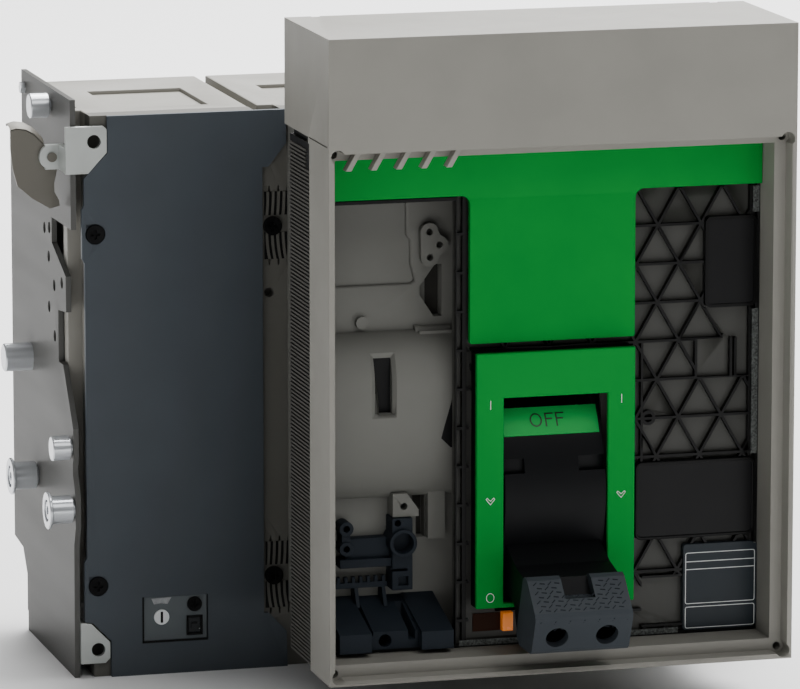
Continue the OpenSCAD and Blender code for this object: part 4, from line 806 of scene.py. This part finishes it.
@dataclass
class Front:
    """Housing, cover, bezel and everything that is seen through them.

    Attributes:
        border: X of the right edge and Z of the foot of the cover.
        ledge: X of the bezel's left ledge.
        housing_left: X that the housing is led on to.
        wall: Y of the housing's front wall.
        crest: Z of the bulge's crest.
        rise: Height of the bulge over its crest.
        fall: Height of the bulge under its crest.
        deep: Reach of the bulge before the wall.
        slot: Lowest and highest X and Z of the frame of the slot in the bulge.
        slat_pitch: Distance between two slats of a grille.
        cover_moves: Old and new X of the cover's posts.
    """

    border: tuple[float, float] = (125.0, 33.3)
    ledge: float = -72.6
    housing_left: float = -72.2
    wall: float = -98.0
    crest: float = 148.0
    rise: float = 23.0
    fall: float = 51.0
    deep: float = 18.0
    slot: tuple = ((-48.8, 135.4), (-37.6, 163.7))
    slat_pitch: float = 1.72
    cover_moves: tuple = (
        (-15.7, -13.6), (-14.5, -13.1), (-12.0, -10.7), (-10.1, -8.8), (-69.8, -72.4), (-68.5, -71.6),
    )

    def build(self) -> None:
        """Dress the front pieces."""
        self._housing()
        dressed("mechanism_frames", SHEET, 0.2)
        dressed("trip_unit", BLACK, 0.6)
        dressed("terminal_block", DARK_INNER, 0.4)
        dressed("wiring_tray", DARK_INNER, 0.35)
        dressed("front_cover", SMOKED, moves=self.cover_moves)
        dressed("grille_frame", BLACK)
        self._cover_details()
        dressed("upper_window", DARK_GLOSS, 0.5)
        dressed("lower_window", DARK_GLOSS, 0.4)
        dressed("rating_plate", DARK_LABEL, 0.3, moves=((123.4, 124.8),))
        self._rating_frames()
        dressed("amber_indicator", AMBER, 0.3, moves=((5.3, 7.7), (15.3, 12.6)))
        self._grille("grille_left", -1)
        self._grille("grille_right", 1)
        dressed("face_plate", GREEN, 0.5, moves=((-69.7, self.ledge + 0.3),))
        dressed("toggle_escutcheon", ESCUTCHEON, 0.6)
        dressed("bezel", RESIN, 0.9, moves=((-70.0, self.ledge),))
        dressed("bezel_screws", BRIGHT, 0.2)

    def _housing(self) -> None:
        """Dress the housing, led on to the bezel's left side, with its bulge made anew."""
        bm = copied("front_housing")
        old_left, thick, behind = -57.0, 3.0, -90.0
        for at in (behind, behind + 0.1):
            self._cut(bm, (0, at, 0), (0, 1, 0))
        for vert in bm.verts:
            x, y = vert.co.x / MM, vert.co.y / MM
            if y < behind + 0.05 and min(abs(x - old_left), abs(x - old_left - thick)) < 0.06:
                vert.co.x += (self.housing_left - old_left) * MM
        bmesh.ops.delete(bm, geom=[f for f in bm.faces if self._on_old_bulge(f)], context="FACES")
        self._soft_step(bm)
        soften(bm, 0.4)
        finished(bm, "front_housing_skin", HOUSING, "base", ("front_housing",))
        self._bulge()
        self._pockets()
        bm = bmesh.new()
        for length, radius in ((16.0, 2.7), (2.2, 3.1)):
            rod(bm, (-25.4, -98.9, 169.9), length, radius)
        finished(bm, "housing_peg", HOUSING, "base", smooth=40.0)
        self._gap_shade()

    def _on_old_bulge(self, face: bmesh.types.BMFace) -> bool:
        """Tell whether a face lies on the round of the solid's own bulge.

        Args:
            face: A face of the housing.

        Returns:
            True if it does.
        """
        middle = face.calc_center_median() / MM
        if middle.y >= self.wall - 0.3 or not 94.5 < middle.z < 171.0:
            return False
        return abs(math.hypot(middle.y + 78.3, middle.z - 132.8) - 38.0) < 0.6

    def _pockets(self) -> None:
        """Darken the floors of the two pockets beside the cover."""
        bm = bmesh.new()
        floor = self.wall + 5.85
        upper = [(-15.3, 199.5), (-12.6, 199.5), (-12.6, 176.4)]
        upper += [(-15.9, 176.4), (-18.6, 180.4), (-18.6, 196.5)]
        lower = [(-24.3, 110.8), (-17.6, 110.9), (-19.8, 101.2)]
        lower += [(-20.4, 101.0), (-20.4, 78.2), (-24.0, 78.2)]
        for outline in (upper, lower):
            plate(bm, outline, floor, floor + 0.1)
        finished(bm, "pocket_shades", POCKET, "base")

    def _gap_shade(self) -> None:
        """Lay a black sheet of painted shade in the gap along the right end of the bulge."""
        bm = bmesh.new()
        edge = [(148.0, -12.5), (143.0, -12.6), (137.0, -14.2)]
        edge += [(131.0, -15.8), (125.0, -17.1), (120.6, -12.6)]
        rows = []
        for z, left in edge:
            y = self.wall - 0.1 - self.deep * math.sqrt(1.0 - ((self.crest - z) / self.fall) ** 2)
            rows.append([bm.verts.new((x * MM, y * MM, z * MM)) for x in (left, -11.0)])
        for upper, lower in zip(rows, rows[1:]):
            bm.faces.new((upper[0], lower[0], lower[1], upper[1]))
        finished(bm, "bulge_gap_shade", BLACK, "base")

    def _soft_step(self, bm: bmesh.types.BMesh) -> None:
        """Slope the edge of the shallow step beside the upper bosses.

        Args:
            bm: The mesh of the housing.
        """
        edges = [
            e for e in bm.edges
            if len(e.link_faces) == 2 and e.calc_face_angle(0.0) > 1.0
            and all(self._on_step(v.co / MM) for v in e.verts)
        ]
        bmesh.ops.bevel(
            bm, geom=edges, offset=1.5 * MM, offset_type="OFFSET", segments=3, profile=0.5,
            material=-1, affect="EDGES", clamp_overlap=True,
        )

    def _on_step(self, at: Vector) -> bool:
        """Tell whether a point lies on the edge of the shallow step."""
        return abs(at.y - self.wall) < 0.02 and 191.2 < at.z < 229.1 and at.x < -24.5

    def _bulge(self) -> None:
        """Make the bulge: a short curve over its crest and a long one below, with a slot in it."""
        bm = bmesh.new()
        right = 0.4
        verts = rod(bm, (self.housing_left, 0.0, 0.0), right - self.housing_left, 1.0, Axis.X, 144)
        for vert in verts:
            y, z = vert.co.y / MM, vert.co.z / MM
            vert.co.y = (self.wall + y * self.deep) * MM
            vert.co.z = (self.crest + z * (self.rise if z > 0 else self.fall)) * MM
        behind = [v for v in verts if v.co.y > (self.wall + 1.0) * MM]
        bmesh.ops.delete(bm, geom=behind, context="VERTS")
        (left, foot), (side, top) = self.slot
        for at in (left, side):
            self._cut(bm, (at, 0, 0), (1, 0, 0))
        for at in (foot, top):
            self._cut(bm, (0, 0, at), (0, 0, 1))
        hole = []
        for face in bm.faces:
            middle = face.calc_center_median() / MM
            inside = left < middle.x < side and foot < middle.z < top
            if inside and middle.y < self.wall and abs(face.normal.x) < 0.5:
                hole.append(face)
        bmesh.ops.inset_region(bm, faces=hole, thickness=1.7 * MM, depth=-1.5 * MM, use_even_offset=True)
        grown = bmesh.ops.extrude_face_region(bm, geom=hole)["geom"]
        moved = [g for g in grown if isinstance(g, bmesh.types.BMVert)]
        bmesh.ops.translate(bm, vec=(0.0, 8.0 * MM, 0.0), verts=moved)
        bmesh.ops.delete(bm, geom=[f for f in hole if f.is_valid], context="FACES")
        finished(bm, "housing_bulge", HOUSING, "base", smooth=40.0)
        bm = bmesh.new()
        cube(bm, (left + 1.6, -110.9, foot + 1.6), (side - 1.6, -110.6, top - 1.5))
        finished(bm, "slot_shade", BLACK, "base")

    def _cut(self, bm: bmesh.types.BMesh, at: tuple, way: tuple) -> None:
        """Cut all faces of a mesh along a plane.

        Args:
            bm: The mesh.
            at: A point of the plane, in millimetres.
            way: The direction that the plane faces.
        """
        bmesh.ops.bisect_plane(
            bm, geom=bm.verts[:] + bm.edges[:] + bm.faces[:], dist=1e-7,
            plane_co=Vector(at) * MM, plane_no=way,
        )

    def _cover_details(self) -> None:
        """Add the grained strips of the cover's border, its lip and the glow beside the indicator."""
        bm = bmesh.new()
        right, foot = self.border
        front = -125.12
        for low, high in ((36.0, 73.0), (113.0, 178.0), (221.0, 232.5)):
            cube(bm, (right - 3.4, front, low), (right - 0.5, front + 0.22, high))
        cube(bm, (-12.0, front, foot + 0.7), (right - 36.5, front + 0.22, foot + 3.2))
        finished(bm, "cover_grain", SPECKLE, "base")
        bm = bmesh.new()
        cube(bm, (self.ledge + 0.3, -126.2, 231.9), (-13.4, -122.0, 233.3))
        finished(bm, "cover_lip", BLACK, "base")
        bm = bmesh.new()
        cube(bm, (-5.0, -122.3, 39.5), (7.5, -121.9, 47.5))
        finished(bm, "indicator_glow", AMBER_GLOW, "base")

    def _rating_frames(self) -> None:
        """Draw the two bare frames of the rating plate with the rules of the upper one."""
        bm = bmesh.new()
        front = -125.66
        for low, high in (((91.6, 46.7), (123.9, 69.9)), ((91.6, 35.7), (123.9, 45.5))):
            line_round(bm, rounded(low, high, 1.0), front, 0.34)
        for z in (65.6, 62.1):
            cube(bm, (91.9, front, z), (123.6, front + 0.1, z + 0.34))
        finished(bm, "rating_frames", RULES, "base")

    def _grille(self, node: str, way: int) -> None:
        """Make one side grille: a black sheet of painted shade for its gaps, with fine slats outside it.

        Args:
            node: Name of the grille's solid.
            way: -1 on the left side and 1 on the right.
        """
        outer, low, high = -77.5, 27.5, 257.7
        front, back, notch, notch_front = -118.0, -84.4, high - 11.0, -111.5
        shift = 27.5 if way > 0 else 0.0
        sheet, slats = bmesh.new(), bmesh.new()
        # Black sheet behind the slats: painted shade in the grille's gaps.
        cube(sheet, (outer + 0.7, -118.3, low), (outer + 2.4, -83.0, high))
        for number in range(int((high - low - 2.0) / self.slat_pitch)):
            z = low + 1.0 + number * self.slat_pitch
            near = front if z < notch else notch_front
            cube(slats, (outer, near, z), (outer + 0.8, back, z + self.slat_pitch * 0.5))
        for bm in (sheet, slats):
            if way > 0:
                bmesh.ops.scale(bm, vec=(-1.0, 1.0, 1.0), verts=bm.verts)
                bmesh.ops.reverse_faces(bm, faces=bm.faces)
                bmesh.ops.translate(bm, vec=(2 * shift * MM, 0.0, 0.0), verts=bm.verts)
        finished(sheet, node + "_skin", BLACK, "base", (node,))
        finished(slats, node + "_slats", GRILLE, "base")


@dataclass
class Toggle:
    """Toggle drum, its grip and the linkage behind it."""

    def build(self) -> None:
        """Dress the moving pieces of the handle."""
        dressed("toggle_drum", DRUM, 0.4)
        dressed("position_band", BAND, 0.0)
        dressed("toggle_grip", GRIP, 0.7)
        dressed("handle_yoke", SHEET, 0.2)
        dressed("handle_pin", BRIGHT, 0.3)
        dressed("main_springs", BRIGHT, 0.0)
        dressed("toggle_link", SHEET, 0.2)


@dataclass
class Marks:
    """Marks of the switch positions on the escutcheon and on the drum.

    Attributes:
        plane: Y of the escutcheon's front.
        middle: X of the toggle.
        reach: Distance of the marks from that X.
        stroke: Width of the upright stroke.
        hinge: Y and Z of the handle's axis.
        radius: Radius of the drum's band.
        word_turn: Angle of the word over the axis, in degrees.
    """

    plane: float = -134.0
    middle: float = 29.3
    reach: float = 29.75
    stroke: float = 0.28
    hinge: tuple[float, float] = (-72.6, 100.0)
    radius: float = 61.35
    word_turn: float = 32.5

    def build(self) -> None:
        """Make the strokes of both sides and the word on the drum."""
        bm = bmesh.new()
        for side in (-1, 1):
            x = self.middle + side * self.reach
            self._bar(bm, x, 142.6)
            self._arrow(bm, x, 99.9)
            self._ring(bm, x, 56.9)
        finished(bm, "switch_marks", MARK, "base")
        word = bmesh.new()
        for x, letter in ((-5.7, "O"), (0.8, "F"), (5.7, "F")):
            self._letter(word, self.middle - 3.0 + x, letter)
        self._wrap(word)
        finished(word, "drum_word", DARK_MARK, "handle")

    def _bar(self, bm: bmesh.types.BMesh, x: float, z: float) -> None:
        """Add the stroke of the closed position."""
        half, front = self.stroke / 2, self.plane - 0.12
        cube(bm, (x - half, front, z - 2.0), (x + half, self.plane + 0.1, z + 2.0))

    def _arrow(self, bm: bmesh.types.BMesh, x: float, z: float) -> None:
        """Add the hollow arrow head that points down."""
        outline = [(2.1, 0.9), (1.5, 1.7), (0.0, 0.3), (-1.5, 1.7), (-2.1, 0.9), (0.0, -1.7)]
        line_round(bm, [(x + a, z + b) for a, b in outline], self.plane - 0.12, 0.26)

    def _ring(self, bm: bmesh.types.BMesh, x: float, z: float) -> None:
        """Add the upright ring of the open position."""
        line_round(bm, self._oval(x, z, 1.85, 2.1), self.plane - 0.12, 0.26)

    def _oval(self, x: float, z: float, wide: float, high: float) -> list[tuple[float, float]]:
        """Give the points of an upright oval."""
        turns = [2 * math.pi * k / 40 for k in range(40)]
        return [(x + wide * math.cos(t), z + high * math.sin(t)) for t in turns]

    def _letter(self, bm: bmesh.types.BMesh, x: float, letter: str) -> None:
        """Add one flat letter, its height along Z from the middle of the word.

        Args:
            bm: The mesh that is added to.
            x: X of its left edge.
            letter: The letter, O or F.
        """
        half, wide, pen = 3.2, 3.9, 0.62
        if letter == "F":
            cube(bm, (x, -0.12, -half), (x + pen, 0.05, half))
            cube(bm, (x + pen, -0.12, half - pen), (x + wide, 0.05, half))
            cube(bm, (x + pen, -0.12, 0.1), (x + wide * 0.85, 0.05, 0.1 + pen))
            return
        line_round(bm, self._oval(x + 2.3, 0.0, 2.75, half), -0.1, pen)

    def _wrap(self, bm: bmesh.types.BMesh) -> None:
        """Lay the flat word on the round of the drum.

        Args:
            bm: The mesh of the word, flat at a Y of 0.
        """
        for vert in bm.verts:
            turn = math.radians(self.word_turn) + vert.co.z / (self.radius * MM)
            reach = self.radius * MM - vert.co.y
            vert.co.y = self.hinge[0] * MM - reach * math.cos(turn)
            vert.co.z = self.hinge[1] * MM + reach * math.sin(turn)


@dataclass
class GripTexture:
    """Short strokes moulded into the sloping face of the grip.

    Attributes:
        middle: X of the toggle.
        pitch: Distance between two strokes of a row.
        row: Distance between two rows.
    """

    middle: float = 29.3
    pitch: float = 3.3
    row: float = 2.3

    def build(self) -> None:
        """Lay the strokes over the slope, the bend and the top of the front face."""
        bm = bmesh.new()
        path = ((-165.1, 69.9), (-176.2, 58.5), (-177.2, 54.7), (-174.6, 49.2))
        number, travelled = 0, 0.9
        for (y0, z0), (y1, z1) in zip(path, path[1:]):
            length = math.hypot(y1 - y0, z1 - z0)
            along = Vector((0.0, (y1 - y0) / length, (z1 - z0) / length))
            while travelled < length - 0.4:
                centre = Vector((0.0, y0, z0)) + along * travelled
                self._row(bm, centre, along, number)
                number += 1
                travelled += self.row
            travelled = max(0.5, travelled - length)
        finished(bm, "grip_strokes", GRIP_DARK, "handle")

    def _row(self, bm: bmesh.types.BMesh, centre: Vector, along: Vector, number: int) -> None:
        """Add one row of strokes that lean to and fro.

        Args:
            bm: The mesh that is added to.
            centre: Point of the face that the row runs through, at an X of 0.
            along: Direction down the face.
            number: Number of the row, from the top.
        """
        count = 12
        normal = Vector((1.0, 0.0, 0.0)).cross(along).normalized()
        if normal.y > 0:
            normal = -normal
        for k in range(count):
            x = self.middle + (k - (count - 1) / 2) * self.pitch + (0.8 if number % 2 else -0.8)
            if number < 3 and abs(x - self.middle) < 8.4 and centre.y > -171.4:
                continue
            if abs(x - self.middle) > 19.8:
                continue
            lean = 0.15 if (k + number) % 2 else -0.75
            verts = bmesh.ops.create_cube(bm, size=1.0)["verts"]
            bmesh.ops.scale(bm, vec=Vector((2.3, 0.16, 0.42)) * MM, verts=verts)
            bmesh.ops.rotate(bm, cent=(0, 0, 0), matrix=Matrix.Rotation(lean, 3, "Y"), verts=verts)
            basis = Matrix((Vector((1.0, 0.0, 0.0)), normal, -along)).transposed()
            bmesh.ops.rotate(bm, cent=(0, 0, 0), matrix=basis, verts=verts)
            place = Vector((x, centre.y, centre.z)) + normal * 0.02
            bmesh.ops.translate(bm, vec=place * MM, verts=verts)


@dataclass
class Studio:
    """Pale floor, soft lights and the camera at the photograph's place.

    Attributes:
        place: Place of the camera, in metres.
        azimuth: Direction of its view, in degrees from the Y direction.
        elevation: How far it looks down, in degrees.
        lens: Its focal length.
    """

    place: tuple[float, float, float] = (-0.7529, -2.7150, 0.6666)
    azimuth: float = 15.415
    elevation: float = 10.479
    lens: float = 284.07

    def build(self) -> None:
        """Make the floor, the lights, the sky and the camera."""
        bm = bmesh.new()
        bmesh.ops.create_grid(bm, x_segments=1, y_segments=1, size=6.0)
        mesh = bpy.data.meshes.new("floor")
        bm.to_mesh(mesh)
        bm.free()
        floor = bpy.data.objects.new("floor", mesh)
        mesh.materials.append(FLOOR.material())
        bpy.context.scene.collection.objects.link(floor)
        self._light("key", (0.9, -2.0, 2.4), 1.4, 8.0)
        self._light("top", (0.7, 0.55, 2.4), 2.0, 122.0)
        self._light("backdrop", (1.0, 2.4, 2.0), 3.2, 230.0, aim=(-0.1, 2.2, 0.0))
        self._light("foreground", (0.0, -1.0, 0.95), 0.8, 3.0, aim=(0.0, -0.95, 0.0))
        world = bpy.data.worlds.new("sky")
        world.use_nodes = True
        sky = world.node_tree.nodes["Background"]
        sky.inputs["Color"].default_value = (1.0, 1.0, 1.0, 1.0)
        sky.inputs["Strength"].default_value = 0.2
        bpy.context.scene.world = world
        self._camera()

    def _light(
        self, name: str, place: tuple, size: float, power: float, aim: tuple = (0.0, -0.03, 0.14)
    ) -> None:
        """Add one soft area light that faces the breaker or another point.

        Args:
            name: Name of the light.
            place: Its place, in metres.
            size: Its width, in metres.
            power: Its power, in watts.
            aim: The point that it faces, in metres.
        """
        data = bpy.data.lights.new(name, "AREA")
        data.size = size
        data.energy = power
        light = bpy.data.objects.new(name, data)
        light.location = place
        light.rotation_euler = (Vector(aim) - Vector(place)).to_track_quat("-Z", "Y").to_euler()
        bpy.context.scene.collection.objects.link(light)

    def _camera(self) -> None:
        """Add the camera."""
        data = bpy.data.cameras.new("camera")
        data.lens = self.lens
        data.sensor_width = 36.0
        data.clip_start, data.clip_end = 0.1, 50.0
        camera = bpy.data.objects.new("camera", data)
        camera.location = self.place
        turn, tilt = math.radians(self.azimuth), math.radians(self.elevation)
        aim = Vector((math.sin(turn) * math.cos(tilt), math.cos(turn) * math.cos(tilt), -math.sin(tilt)))
        camera.rotation_mode = "QUATERNION"
        camera.rotation_quaternion = aim.to_track_quat("-Z", "Y")
        bpy.context.scene.collection.objects.link(camera)
        bpy.context.scene.camera = camera


def main() -> None:
    """Dress the breaker and set the studio."""
    logging.basicConfig(level=logging.INFO, format="%(message)s")
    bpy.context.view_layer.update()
    for part in (Case(), PoleCover(), Sides(), Front(), Toggle(), Marks(), GripTexture(), Studio()):
        part.build()


if __name__ == "__main__":
    main()
